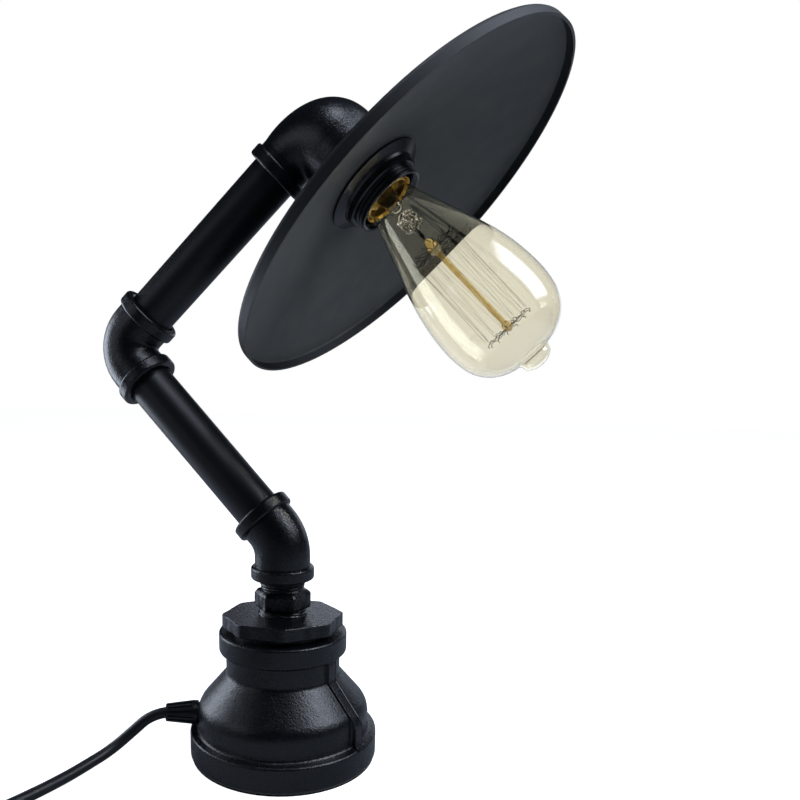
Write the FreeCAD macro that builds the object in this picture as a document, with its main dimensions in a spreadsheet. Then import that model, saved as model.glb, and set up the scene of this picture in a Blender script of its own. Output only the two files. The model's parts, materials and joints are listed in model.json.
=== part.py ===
# Table lamp made of black pipe fittings, as a parametric document of separate pieces.
# Frame: +Z up, origin at the centre of the foot's underside, head of the lamp towards +X.
import FreeCAD, Part
import math
import os
import Sketcher
from FreeCAD import Matrix, Placement, Rotation, Vector

doc = FreeCAD.newDocument("PipeLamp")
sheet = doc.addObject("Spreadsheet::Sheet", "Sizes")

SIZES = {
    # foot: felt pad, closing plate and its screws
    "padRadius": 55.0, "padThick": 1.0, "plateRadius": 55.2, "plateThick": 1.2,
    "plateScrewCircle": 49.8, "plateScrewRadius": 2.0, "plateScrewLength": 10.0, "plateScrewHead": 3.9,
    # reducing socket that stands wide end down
    "bandRadius": 55.9, "bandTop": 16.4, "bodyRadius": 50.8, "shoulderHeight": 32.2,
    "neckRadius": 33.7, "neckHeight": 52.2, "collarRadius": 37.7, "collarFoot": 65.6, "collarTop": 77.3,
    "socketWall": 5.0, "mouthRadius": 44.0, "mouthDepth": 11.0, "neckBore": 29.7,
    "shoulderRound": 13.0, "neckRound": 4.0, "bandRound": 2.2, "collarRound": 1.6, "fillet": 1.8,
    "footRound": 0.6,
    "ribWidth": 8.0, "ribStand": 2.9, "ribAngle": -10.5, "ribSpread": 161.0,
    # octagonal reducing bush and hex nipple
    "octagonCorner": 35.5, "octagonFoot": 79.3, "octagonTop": 87.0, "octagonAngle": 28.0, "octagonLean": -2.4,
    "octagonLeanAngle": 23.8,
    "bushShank": 29.7, "bushShankFoot": 63.0, "nippleBore": 8.5, "nippleStem": 13.45, "nippleFoot": 72.0,
    "hexFoot": 92.8, "hexTop": 101.9, "hexCorner": 16.8, "hexAngle": 19.0, "nippleTop": 121.0,
    # arm: centre of the lower elbow, then pipes between elbow centres
    "lowerElbowHeight": 131.5, "lowerArm": 152.6, "upperArm": 169.0, "armAngle": 45.0, "armTurn": 9.25,
    "headTurn": 1.0,
    "pipeRadius": 13.45, "pipeBore": 10.8, "threadBore": 13.5, "castBore": 11.6, "insertion": 14.0,
    "fittingBand": 18.4, "bandWidth": 7.4, "edgeRound": 1.5,
    "lowerReach": 23.0, "lowerReachOut": 21.3, "lowerBody": 16.1, "lowerBend": 24.0,
    "middleReach": 29.5, "middleBody": 16.3, "middleBend": 16.6,
    "headReach": 36.0, "headNeckBand": 17.6, "headNeck": 15.8, "headBody": 23.0, "headHinge": 25.2,
    "headBodyTop": 18.0, "headSwell": 1.8, "headSections": 4.0,
    "headBand": 27.2, "headBandFoot": 26.0, "headFace": 32.5, "headBore": 20.0, "headBoreFoot": 11.0,
    # lampholder, shade ring and shade, measured along the head's axis from the head elbow's centre
    "capFoot": 17.0, "capRadius": 23.2, "capTop": 44.0, "capHollow": 17.6, "sleeveRadius": 19.85,
    "sleeveFoot": 29.0, "sleeveTop": 59.2, "sleeveHollow": 16.6,
    "coreFoot": 27.0, "coreTop": 33.0, "coreRadius": 16.5, "shellRadius": 13.9, "shellHollow": 13.45,
    "shellTop": 58.9, "contactTop": 35.2,
    "ringFlange": 29.1, "ringHub": 22.4, "ringFoot": 45.0, "ringTop": 53.4, "ringBore": 19.95,
    "shadeRadius": 112.5, "shadeRim": 72.5, "shadeBack": 66.5, "shadeFlat": 31.0, "shadeHole": 20.3,
    "shadeFoot": 44.0, "shadeThick": 0.9, "shadeEdge": 1.3, "shadeRound": 2.2,
    # bulb, along the same axis
    "capSkirt": 56.6, "capThread": 13.0, "capWall": 0.6, "insulatorTop": 40.0, "insulatorFoot": 36.9,
    "tipFoot": 35.6, "glassNeck": 12.2, "glassWall": 0.8, "rodRadius": 1.7, "rodFoot": 79.0, "rodTop": 153.0,
    "cageTop": 94.0, "cageFoot": 151.0, "cageRadius": 13.6, "wireRadius": 0.35, "cageWires": 13.0,
    # strain relief and cord
    "reliefAngle": 206.0, "reliefHeight": 25.0, "reliefRoot": 7.2, "reliefTip": 5.4, "reliefEnd": 70.2,
    "reliefNeck": 6.0, "reliefRibs": 14.0, "cordRadius": 3.3,
    # put-away coil of two layers
    "coilX": -62.1, "coilY": -246.0, "coilOuter": 47.9, "coilInner": 26.5,
    # inline switch and plug
    "switchX": -105.5, "switchY": -150.0, "switchHeading": -92.8, "switchLength": 58.0,
    "switchSeam": 6.0, "switchTop": 13.0, "rockerTilt": 11.0,
    "plugRadius": 18.5, "plugHeading": 45.0, "pinRadius": 2.4, "pinLength": 19.0, "pinSpacing": 19.0,
}
for row, (alias, number) in enumerate(SIZES.items(), start=1):
    sheet.set("A%d" % row, alias)
    sheet.set("B%d" % row, "%g" % number)
    sheet.setAlias("B%d" % row, alias)
doc.recompute()


def size(term):
    """Number behind a term: a plain number, an alias, an alias with a minus sign, or a sum of these."""
    if isinstance(term, tuple):
        return sum(size(part) for part in term)
    if isinstance(term, str):
        return -size(term[1:]) if term.startswith("-") else float(sheet.get(term))
    return float(term)


def formula(term):
    """The same term as an expression on the sheet."""
    if isinstance(term, tuple):
        return " + ".join("(%s)" % formula(part) for part in term)
    if isinstance(term, str):
        return "-Sizes.%s" % term[1:] if term.startswith("-") else "Sizes.%s" % term
    return "%g" % term


def frame(origin, x_dir, z_dir):
    """Placement whose local X and Z run along the two given directions."""
    y_dir = z_dir.cross(x_dir)
    return Placement(Matrix(x_dir.x, y_dir.x, z_dir.x, origin.x, x_dir.y, y_dir.y, z_dir.y, origin.y,
                            x_dir.z, y_dir.z, z_dir.z, origin.z, 0, 0, 0, 1))


def polar(radius, degrees, height=0.0):
    return Vector(radius * math.cos(math.radians(degrees)), radius * math.sin(math.radians(degrees)), height)


# The arm's three straight stretches: up the lower pipe, up the upper pipe, and out of the shade.
lean = math.radians(size("armAngle"))
turn = math.radians(size("armTurn"))
LOWER_DIR = Vector(-math.sin(lean), 0, math.cos(lean))
UPPER_DIR = (Vector(math.cos(lean), 0, math.sin(lean)) * math.cos(turn) + Vector(0, 1, 0) * math.sin(turn))
HEAD_DIR = Rotation(UPPER_DIR, size("headTurn")).multVec(LOWER_DIR * -1)
ELBOW_LOW = Vector(0, 0, size("lowerElbowHeight"))
ELBOW_MID = ELBOW_LOW + LOWER_DIR * size("lowerArm")
ELBOW_TOP = ELBOW_MID + UPPER_DIR * size("upperArm")

WORLD = Placement()
LOW_FRAME = Placement(ELBOW_LOW, Rotation(Vector(0, 0, 1), 180))
LOWER_PIPE_FRAME = frame(ELBOW_LOW, Vector(0, 1, 0), LOWER_DIR)
MID_FRAME = frame(ELBOW_MID, UPPER_DIR, LOWER_DIR)
UPPER_PIPE_FRAME = frame(ELBOW_MID, LOWER_DIR, UPPER_DIR)
HEAD_FRAME = frame(ELBOW_TOP, UPPER_DIR, HEAD_DIR)
RELIEF_DIR = polar(1, size("reliefAngle"))
RELIEF_FRAME = frame(Vector(0, 0, size("reliefHeight")), Vector(0, 0, 1), RELIEF_DIR)
SWITCH_DIR = polar(1, size("switchHeading"))
SWITCH_FRAME = frame(Vector(size("switchX"), size("switchY"), 0), SWITCH_DIR, Vector(0, 0, 1))

nodes = {}


def keep(label, shape_object, place=None):
    """Register a finished sub-part under its node name and set it in its place."""
    shape_object.Label = label
    if place is not None:
        shape_object.Placement = place
    nodes[label] = shape_object
    return shape_object


# ---- PartDesign helpers -------------------------------------------------------------------------

def new_body(name):
    return doc.addObject("PartDesign::Body", name)


def new_sketch(body, role, name):
    sketch = body.newObject("Sketcher::SketchObject", name)
    plane = [feature for feature in body.Origin.OriginFeatures if feature.Role == role][0]
    sketch.AttachmentSupport = [(plane, "")]
    sketch.MapMode = "FlatFace"
    return sketch


def draw_outline(sketch, corners):
    """Closed outline of straight lines whose corners are bound to the sheet."""
    spots = [Vector(size(x), size(y), 0) for x, y in corners]
    count = len(spots)
    for i in range(count):
        sketch.addGeometry(Part.LineSegment(spots[i], spots[(i + 1) % count]), False)
    for i in range(count):
        sketch.addConstraint(Sketcher.Constraint("Coincident", i, 2, (i + 1) % count, 1))
    for i, (x, y) in enumerate(corners):
        for axis, term, other_axis in (("DistanceX", x, -2), ("DistanceY", y, -1)):
            if size(term) == 0:
                sketch.addConstraint(Sketcher.Constraint("PointOnObject", i, 1, other_axis))
                continue
            index = sketch.addConstraint(Sketcher.Constraint(axis, -1, 1, i, 1, size(term)))
            if not isinstance(term, (int, float)):
                sketch.setExpression("Constraints[%d]" % index, formula(term))


def revolve(body, corners, feature="PartDesign::Revolution"):
    """Outline of (radius, height) corners turned once about the body's Z axis."""
    sketch = new_sketch(body, "XZ_Plane", body.Name + "_outline")
    draw_outline(sketch, corners)
    turned_feature = body.newObject(feature, body.Name + "_turned")
    turned_feature.Profile = sketch
    turned_feature.ReferenceAxis = (sketch, ["V_Axis"])
    turned_feature.Angle = 360
    doc.recompute()
    return turned_feature


def circle_edges(shape, spots):
    """Names of a shape's circular edges at the given (radius, height) spots."""
    names = []
    for index, edge in enumerate(shape.Edges, start=1):
        if not isinstance(edge.Curve, Part.Circle):
            continue
        for radius, height in spots:
            if abs(edge.Curve.Radius - size(radius)) < 0.02 and abs(edge.Curve.Center.z - size(height)) < 0.02:
                names.append("Edge%d" % index)
    return names


def round_circles(body, feature, spots, radius):
    names = circle_edges(feature.Shape, spots)
    rounding = body.newObject("PartDesign::Fillet", body.Name + "_round")
    rounding.Base = (feature, names)
    rounding.setExpression("Radius", formula(radius))
    doc.recompute()
    return rounding


def turned(label, corners, place=WORLD, rounds=()):
    """Sub-part turned on a lathe; rounds lists (circle spots, radius) pairs."""
    body = new_body(label)
    feature = revolve(body, corners)
    for spots, radius in rounds:
        feature = round_circles(body, feature, spots, radius)
    return keep(label, body, place)


# ---- Part helpers -------------------------------------------------------------------------------

def bound(kind, name, place=WORLD, **terms):
    """Part primitive whose sizes are bound to the sheet."""
    primitive = doc.addObject(kind, name)
    primitive.Placement = place
    for key, term in terms.items():
        if isinstance(term, (int, float)):
            setattr(primitive, key, term)
        else:
            primitive.setExpression(key, formula(term))
    return primitive


def cylinder(name, place, radius, height):
    return bound("Part::Cylinder", name, place, Radius=radius, Height=height)


def box(name, corner, length, width, height, place=WORLD):
    spot = place.multiply(Placement(Vector(*corner), Rotation()))
    return bound("Part::Box", name, spot, Length=length, Width=width, Height=height)


def fuse(name, *shapes):
    joined = doc.addObject("Part::MultiFuse", name)
    joined.Shapes = list(shapes)
    doc.recompute()
    return joined


def cut(name, base, tool):
    result = doc.addObject("Part::Cut", name)
    result.Base = base
    result.Tool = tool
    doc.recompute()
    return result


def common(name, *shapes):
    result = doc.addObject("Part::MultiCommon", name)
    result.Shapes = list(shapes)
    doc.recompute()
    return result


def group(label, *shapes):
    """Several separate solids that share one node."""
    compound = doc.addObject("Part::Compound", label)
    compound.Links = list(shapes)
    doc.recompute()
    return keep(label, compound)


def soften(name, base, radius, wanted):
    """Fillet every edge of base for which wanted(edge) holds."""
    rounding = doc.addObject("Part::Fillet", name)
    rounding.Base = base
    amount = size(radius)
    rounding.Edges = [(i, amount, amount) for i, edge in enumerate(base.Shape.Edges, start=1) if wanted(edge)]
    doc.recompute()
    return rounding


def along(place, offset, direction=None):
    """Placement at a local offset of place, with local Z turned to a local direction."""
    rotation = Rotation(Vector(0, 0, 1), direction) if direction is not None else Rotation()
    return place.multiply(Placement(offset, rotation))


def feature(label, shape):
    holder = doc.addObject("Part::Feature", label)
    holder.Shape = shape
    return keep(label, holder)


def rounded_path(points):
    """Straight runs joined by tangent arcs, each arc as large as its two runs allow."""
    edges, start, radii = [], points[0], []
    for i in range(1, len(points) - 1):
        here = points[i]
        back, ahead = points[i - 1] - here, points[i + 1] - here
        half_turn = (math.pi - back.getAngle(ahead)) / 2
        reach = 0.45 * min(back.Length, ahead.Length)
        radius = reach / math.tan(half_turn)
        enter = here + back.normalize() * reach
        leave = here + ahead.normalize() * reach
        inward = (back + ahead).normalize()
        middle = here + inward * (radius / math.cos(half_turn) - radius)
        edges.append(Part.LineSegment(start, enter).toShape())
        edges.append(Part.Arc(enter, middle, leave).toShape())
        start = leave
        radii.append(radius)
    edges.append(Part.LineSegment(start, points[-1]).toShape())
    return Part.Wire(edges), radii


def tube(label, points, radius):
    """Round flexible lead along a rounded path, checked against its section times its length."""
    wire, radii = rounded_path(points)
    first = wire.Edges[0]
    direction = (points[1] - points[0]).normalize()
    section = Part.Wire(Part.Circle(first.valueAt(first.FirstParameter), direction, radius).toShape())
    solid = wire.makePipeShell([section], True, True)
    ideal = math.pi * radius * radius * wire.Length
    print("%s: length %.1f, least radius %.1f, volume ratio %.4f"
          % (label, wire.Length, min(radii) if radii else 0, solid.Volume / ideal))
    return feature(label, solid)


# ---- foot and base ------------------------------------------------------------------------------

def plate_screw_spots():
    return [polar(size("plateScrewCircle"), 120 * k + 79) for k in range(3)]


def build_foot():
    plate_top = ("padThick", "plateThick")
    turned("foot_pad", [(0, 0), ("padRadius", 0), ("padRadius", "padThick"), (0, "padThick")])
    body = new_body("plate_blank")
    revolve(body, [(0, "padThick"), ("plateRadius", "padThick"), ("plateRadius", plate_top), (0, plate_top)])
    seats, screws = [], []
    for k, spot in enumerate(plate_screw_spots()):
        place = Placement(spot + Vector(0, 0, size("padThick")), Rotation())
        seats.append(bound("Part::Cone", "screw_seat%d" % k, place, Radius1=("plateScrewHead", 0.1),
                           Radius2=("plateScrewRadius", 0.1), Height="plateThick"))
        head = bound("Part::Cone", "screw_head%d" % k, place, Radius1="plateScrewHead",
                     Radius2="plateScrewRadius", Height="plateThick")
        shank = cylinder("screw_shank%d" % k, place, "plateScrewRadius", "plateScrewLength")
        screws.append(fuse("plate_screw%d" % k, head, shank))
    keep("base_plate", cut("plate_drilled", body, fuse("screw_seats", *seats)))
    group("base_plate_screws", *screws)


def build_base_socket():
    foot = ("padThick", "plateThick")
    body = new_body("socket_casting")
    outer = [(0, foot), ("bandRadius", foot), ("bandRadius", "bandTop"), ("bodyRadius", ("bandTop", 1.2)),
             ("bodyRadius", "shoulderHeight"), ("neckRadius", "neckHeight"),
             ("neckRadius", ("collarFoot", -1.2)), ("collarRadius", "collarFoot"),
             ("collarRadius", "collarTop"), (0, "collarTop")]
    solid = revolve(body, outer)
    for spots, radius in (([("bodyRadius", "shoulderHeight")], "shoulderRound"),
                          ([("neckRadius", "neckHeight")], "neckRound"),
                          ([("bodyRadius", ("bandTop", 1.2))], "bandRound"),
                          ([("neckRadius", ("collarFoot", -1.2))], "fillet"),
                          ([("bandRadius", foot)], "footRound"),
                          ([("bandRadius", "bandTop"), ("collarRadius", "collarFoot"),
                            ("collarRadius", "collarTop")], "collarRound")):
        solid = round_circles(body, solid, spots, radius)

    rib = new_sketch(body, "XZ_Plane", "rib_outline")
    inside = ("neckBore", 1)
    draw_outline(rib, [(inside, ("bandTop", -2)), (("bodyRadius", "ribStand"), ("bandTop", -2)),
                       (("bodyRadius", "ribStand"), ("shoulderHeight", -1.5)),
                       (("neckRadius", "ribStand"), ("neckHeight", 1.4)),
                       (("neckRadius", "ribStand"), ("collarFoot", 2)), (inside, ("collarFoot", 2))])
    pad = body.newObject("PartDesign::Pad", "rib")
    pad.Profile = rib
    pad.setExpression("Length", formula("ribWidth"))
    pad.Midplane = True
    doc.recompute()
    pair = body.newObject("PartDesign::PolarPattern", "rib_pair")
    pair.Originals = [pad]
    pair.Axis = ([f for f in body.Origin.OriginFeatures if f.Role == "Z_Axis"][0], [""])
    pair.Angle = size("ribSpread")
    pair.Occurrences = 2
    body.Tip = pair
    doc.recompute()

    before = body.Shape.Volume
    under_neck = ("neckHeight", -2)
    revolve(body, [(0, 0), ("mouthRadius", 0), ("mouthRadius", "mouthDepth"),
                   (("bodyRadius", "-socketWall"), ("mouthDepth", 2)),
                   (("bodyRadius", "-socketWall"), ("shoulderHeight", -2)), ("neckBore", under_neck),
                   ("neckBore", ("collarTop", 5)), (0, ("collarTop", 5))], "PartDesign::Groove")
    print("base_socket: hollowed from %.0f to %.0f cubic mm" % (before, body.Shape.Volume))
    body.Placement = Placement(Vector(), Rotation(Vector(0, 0, 1), size("ribAngle")))

    holes = [cylinder("cord_hole", along(RELIEF_FRAME, Vector(0, 0, size("bodyRadius") - 12)),
                      ("reliefNeck", 0.1), 24)]
    for k, spot in enumerate(plate_screw_spots()):
        holes.append(cylinder("screw_hole%d" % k, Placement(spot, Rotation()), ("plateScrewRadius", 0.05),
                              ("plateScrewLength", 3.5)))
    keep("base_socket", cut("socket_drilled", body, fuse("socket_holes", *holes)))


def build_bush_and_nipple():
    rim = 0.9
    octagon = bound("Part::Prism", "octagon", Placement(Vector(0, 0, size("octagonFoot")),
                    Rotation(Vector(0, 0, 1), size("octagonAngle"))), Polygon=8,
                    Circumradius="octagonCorner", Height=("octagonTop", "-octagonFoot"))
    crooked = Rotation(polar(1, size("octagonLeanAngle")), size("octagonLean"))
    turning = new_body("octagon_turning")
    corner = ("octagonCorner", -0.7)
    flat = ("octagonCorner", -3.0)
    revolve(turning, [(0, "octagonFoot"), (flat, "octagonFoot"), (corner, ("octagonFoot", rim)),
                      (corner, ("octagonTop", -rim)), (flat, "octagonTop"), (0, "octagonTop")])
    head = common("octagon_head", octagon, turning)
    head.Placement = Placement(Vector(), crooked, Vector(0, 0, size("octagonTop")))
    shank = cylinder("bush_shank", Placement(Vector(0, 0, size("bushShankFoot")), Rotation()), "bushShank",
                     ("octagonFoot", "-bushShankFoot", 2.5))
    bore = cylinder("bush_bore", Placement(Vector(0, 0, size("bushShankFoot") - 1), Rotation()),
                    ("nippleStem", 0.02), 60)
    hollow = cylinder("bush_hollow", Placement(Vector(0, 0, size("bushShankFoot") - 1), Rotation()),
                      ("bushShank", -6), 8)
    blank = fuse("bush_blank", head, shank)
    keep("octagon_bush", cut("bush_bored", blank, fuse("bush_hollows", bore, hollow)))

    prism = bound("Part::Prism", "hexagon", Placement(Vector(0, 0, size("hexFoot")),
                  Rotation(Vector(0, 0, 1), size("hexAngle"))), Polygon=6,
                  Circumradius="hexCorner", Height=("hexTop", "-hexFoot"))
    dome = new_body("hexagon_turning")
    corner = ("hexCorner", -0.4)
    flat = ("hexCorner", -2.6)
    revolve(dome, [(0, "hexFoot"), (flat, "hexFoot"), (corner, ("hexFoot", 1.1)), (corner, ("hexTop", -1.1)),
                   (flat, "hexTop"), (0, "hexTop")])
    head = common("hexagon_head", prism, dome)
    stem = cylinder("nipple_stem", Placement(Vector(0, 0, size("nippleFoot")), Rotation()), "nippleStem",
                    ("nippleTop", "-nippleFoot"))
    bore = cylinder("nipple_bore", Placement(Vector(0, 0, size("nippleFoot") - 1), Rotation()), "nippleBore", 60)
    keep("hex_nipple", cut("nipple_bored", fuse("nipple_blank", head, stem), bore))


# ---- elbows and pipes ---------------------------------------------------------------------------

def bent_solid(name, place, degrees, bend, radius, reaches):
    """Round bar that comes up local Z, bends towards local +X and ends a reach beyond the corner each way."""
    half = math.radians(degrees) / 2
    tangent = size(bend) * math.tan(half)
    leave = Vector(math.sin(2 * half), 0, math.cos(2 * half))
    arc_place = place.multiply(frame(Vector(size(bend), 0, -tangent), Vector(-1, 0, 0), Vector(0, 1, 0)))
    arc = bound("Part::Torus", name + "_arc", arc_place, Radius1=bend, Radius2=radius, Angle3=float(degrees))
    come, go = (size(reach) for reach in reaches)
    first = cylinder(name + "_in", along(place, Vector(0, 0, -come)), radius, come - tangent)
    second = cylinder(name + "_out", along(place, leave * tangent, leave), radius, go - tangent)
    return fuse(name, arc, first, second)


def band(name, place, radius, width):
    """Bead that ends a fitting, with its two outer edges rounded."""
    body = new_body(name)
    solid = revolve(body, [(0, 0), (radius, 0), (radius, width), (0, width)])
    round_circles(body, solid, [(radius, 0), (radius, width)], "edgeRound")
    body.Placement = place
    return body


def build_elbow(label, place, degrees, bend, body_radius, reaches):
    turn_by = math.radians(degrees)
    leave = Vector(math.sin(turn_by), 0, math.cos(turn_by))
    come, go = (size(reach) for reach in reaches)
    solid = bent_solid(label + "_body", place, degrees, bend, body_radius, reaches)
    low = band(label + "_band_in", along(place, Vector(0, 0, -come)), "fittingBand", "bandWidth")
    high = band(label + "_band_out", along(place, leave * (go - size("bandWidth")), leave),
                "fittingBand", "bandWidth")
    bore = bent_solid(label + "_bore", place, degrees, bend, "castBore", [(reach, 1) for reach in reaches])
    sockets = []
    for end, spot, way in (("in", Vector(0, 0, -come - 1), Vector(0, 0, 1)),
                           ("out", leave * (go + 1), leave * -1)):
        sockets.append(cylinder(label + "_thread_" + end, along(place, spot, way), "threadBore", ("insertion", 1)))
        sockets.append(bound("Part::Cone", label + "_lip_" + end, along(place, spot, way),
                             Radius1=("threadBore", 2.2), Radius2="threadBore", Height=2.2))
    blank = fuse(label + "_blank", solid, low, high)
    keep(label, cut(label + "_bored", blank, fuse(label + "_hollow", bore, *sockets)))


def build_pipe(label, place, start, length):
    body = new_body(label)
    solid = revolve(body, [("pipeBore", 0), ("pipeRadius", 0), ("pipeRadius", length), ("pipeBore", length)])
    round_circles(body, solid, [("pipeRadius", 0), ("pipeRadius", length)], 0.6)
    keep(label, body, along(place, Vector(0, 0, size(start))))


def build_arm():
    build_elbow("lower_elbow", LOW_FRAME, 45, "lowerBend", "lowerBody", ["lowerReach", "lowerReachOut"])
    build_pipe("lower_pipe", LOWER_PIPE_FRAME, ("lowerReachOut", "-insertion"),
               ("lowerArm", "-lowerReachOut", "-middleReach", "insertion", "insertion"))
    build_elbow("middle_elbow", MID_FRAME, 90, "middleBend", "middleBody", ["middleReach", "middleReach"])
    build_pipe("upper_pipe", UPPER_PIPE_FRAME, ("middleReach", "-insertion"),
               ("upperArm", "-middleReach", "-headReach", "insertion", "insertion"))


def build_head_elbow():
    """Reducing elbow: a pipe-sized neck that swells round the bend into a body with a wide band."""
    neck_way = Vector(-1, 0, 0)
    neck = cylinder("head_neck", along(HEAD_FRAME, neck_way * size("headHinge"), neck_way), "headNeck",
                    ("headReach", "-headHinge"))
    # rings fan about one hinge at the inside of the bend, and grow from the neck's size to the body's
    hinge = Vector(-size("headHinge"), 0, size("headBodyTop"))
    inside = size("headBodyTop") - size("headNeck")
    rings = []
    for k in range(int(size("headSections"))):
        angle = math.pi / 2 * k / (size("headSections") - 1)
        radius = size("headNeck") + (size("headBody") - size("headNeck")) * math.sin(angle) ** size("headSwell")
        outwards = Vector(math.sin(angle), 0, -math.cos(angle))
        spot = HEAD_FRAME.multiply(frame(hinge + outwards * (inside + radius), outwards,
                                         Vector(math.cos(angle), 0, math.sin(angle))))
        rings.append(bound("Part::Circle", "head_ring%d" % k, spot, Radius=radius))
    bend = doc.addObject("Part::Loft", "head_bend")
    bend.Sections = rings
    bend.Solid = True
    doc.recompute()
    straight = cylinder("head_straight", along(HEAD_FRAME, Vector(0, 0, size("headBodyTop"))), "headBody",
                        ("headBandFoot", "-headBodyTop", 1))
    low = band("head_band_in", along(HEAD_FRAME, neck_way * size("headReach"), neck_way * -1), "headNeckBand",
               "bandWidth")
    high = band("head_band_out", along(HEAD_FRAME, Vector(0, 0, size("headBandFoot"))), "headBand",
                ("headFace", "-headBandFoot"))
    blank = fuse("head_blank", neck, bend, straight, low, high)
    socket_start = along(HEAD_FRAME, neck_way * (size("headReach") + 1), neck_way * -1)
    hollows = [cylinder("head_thread", socket_start, "threadBore", ("insertion", 1)),
               bound("Part::Cone", "head_lip", socket_start, Radius1=("threadBore", 2.2), Radius2="threadBore",
                     Height=2.2),
               cylinder("head_duct", along(HEAD_FRAME, neck_way * size("headReach"), neck_way * -1), "castBore",
                        ("headReach", 4)),
               cylinder("head_mouth", along(HEAD_FRAME, Vector(0, 0, size("headBoreFoot"))), "headBore", 40),
               bound("Part::Sphere", "head_turn", along(HEAD_FRAME, Vector(0, 0, 4)), Radius=("castBore", 2))]
    keep("head_elbow", cut("head_bored", blank, fuse("head_hollow", *hollows)))


# ---- lampholder and shade -----------------------------------------------------------------------

def build_lampholder():
    hollow_foot = ("coreFoot", -6)
    turned("holder_cap", [(6, "capFoot"), (("headBore", -0.1), "capFoot"), (("headBore", -0.1), "headFace"),
                          (("capRadius", -1.2), "headFace"), ("capRadius", ("headFace", 2)),
                          ("capRadius", ("capTop", -1)), (("capRadius", -1), "capTop"),
                          (("sleeveRadius", -1.25), "capTop"), (("sleeveRadius", -1.25), "sleeveFoot"),
                          ("capHollow", "sleeveFoot"), ("capHollow", hollow_foot), (6, hollow_foot)], HEAD_FRAME)
    turned("holder_sleeve", [("sleeveHollow", "sleeveFoot"), (("sleeveRadius", -1.3), "sleeveFoot"),
                             (("sleeveRadius", -1.3), "capTop"), ("sleeveRadius", "capTop"),
                             ("sleeveRadius", ("sleeveTop", -0.5)), (("sleeveRadius", -0.5), "sleeveTop"),
                             ("sleeveHollow", "sleeveTop")], HEAD_FRAME)

    core = turned("core_blank", [(0, "coreFoot"), ("coreRadius", "coreFoot"), ("coreRadius", "coreTop"),
                                 (0, "coreTop")], HEAD_FRAME)
    del nodes["core_blank"]
    holes = [cylinder("core_hole%d" % k, along(HEAD_FRAME, Vector(x, 0, size("coreFoot") - 1)), 1.55, 8)
             for k, x in enumerate((-10.0, 10.0))]
    keep("holder_core", cut("core_drilled", core, fuse("core_holes", *holes)))
    group("holder_screws", *[fuse("holder_screw%d" % k,
          cylinder("holder_shank%d" % k, along(HEAD_FRAME, Vector(x, 0, size("coreFoot") - 3.4)), 1.5, 8.4),
          cylinder("holder_head%d" % k, along(HEAD_FRAME, Vector(x, 0, size("coreFoot") - 3.4)), 2.6, 1.8))
          for k, x in enumerate((-10.0, 10.0))])

    turned("holder_shell", [("shellHollow", "coreTop"), ("shellRadius", "coreTop"), ("shellRadius", "shellTop"),
                            ("shellHollow", "shellTop")], HEAD_FRAME)
    strip = fuse("contact_strip",
                 box("contact_foot", (-8, -3, size("coreTop")), 12, 6, 0.5, HEAD_FRAME),
                 box("contact_riser", (3.5, -3, size("coreTop")), 0.5, 6, 2.0, HEAD_FRAME),
                 box("contact_tongue", (-4, -3, size("contactTop") - 0.5), 8, 6, 0.5, HEAD_FRAME))
    keep("centre_contact", strip)


def build_shade():
    turned("shade_ring", [("ringBore", "ringFoot"), ("ringFlange", "ringFoot"),
                          ("ringFlange", ("ringFoot", 1.3)), (("ringHub", 0.8), ("ringFoot", 3.4)),
                          ("ringHub", ("ringFoot", 4.6)), ("ringHub", ("ringTop", -0.8)),
                          (("ringHub", -0.8), "ringTop"), ("ringBore", "ringTop")], HEAD_FRAME)
    body = new_body("shade")
    thick, inner_rim = "shadeThick", ("shadeRadius", "-shadeEdge")
    inner_back = ("shadeBack", "shadeThick", -0.36)
    solid = revolve(body, [("shadeHole", "shadeFoot"), ("shadeFlat", "shadeFoot"), ("shadeRadius", "shadeBack"),
                           ("shadeRadius", "shadeRim"), (inner_rim, "shadeRim"), (inner_rim, inner_back),
                           ("shadeFlat", ("shadeFoot", thick)), ("shadeHole", ("shadeFoot", thick))])
    solid = round_circles(body, solid, [("shadeRadius", "shadeBack")], "shadeRound")
    round_circles(body, solid, [(inner_rim, inner_back)], ("shadeRound", "-shadeThick"))
    keep("shade", body, HEAD_FRAME)


# ---- bulb ---------------------------------------------------------------------------------------

# Bulb outline from its neck to the axis, as runs and tangent arcs: a run is its length, an arc is the
# degrees that it turns outwards and its radius. Neck, flare, pear, crown, shoulder, fillet, seal tip.
BULB_FOOT = 50.0
BULB_SIDE = [4.4, (17.4, 20.0), 45.6, (-17.4, 120.0), (-12.0, 60.0), (-70.0, 24.0), (82.0, 2.0), 0.9, (-90.0, 4.4)]


def bulb_shell(inset):
    """Solid of the bulb's outline, drawn in by the inset."""
    spot, heading = Vector(size("glassNeck") - inset, 0, BULB_FOOT), 0.0
    edges = [Part.LineSegment(Vector(0, 0, BULB_FOOT), spot).toShape()]
    for run in BULB_SIDE:
        ahead = Vector(math.sin(math.radians(heading)), 0, math.cos(math.radians(heading)))
        if not isinstance(run, tuple):
            edges.append(Part.LineSegment(spot, spot + ahead * run).toShape())
            spot = spot + ahead * run
            continue
        degrees, radius = run
        way = math.copysign(1, degrees)
        centre = spot + Vector(ahead.z, 0, -ahead.x) * way * (radius + way * inset)
        spoke = spot - centre
        middle = centre + Rotation(Vector(0, 1, 0), degrees / 2).multVec(spoke)
        leave = centre + Rotation(Vector(0, 1, 0), degrees).multVec(spoke)
        edges.append(Part.Arc(spot, middle, leave).toShape())
        spot, heading = leave, heading + degrees
    tip = Vector(0, 0, spot.z)
    edges += [Part.LineSegment(spot, tip).toShape(), Part.LineSegment(tip, Vector(0, 0, BULB_FOOT)).toShape()]
    return Part.Face(Part.Wire(edges)).revolve(Vector(0, 0, 0), Vector(0, 0, 1), 360)


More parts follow.
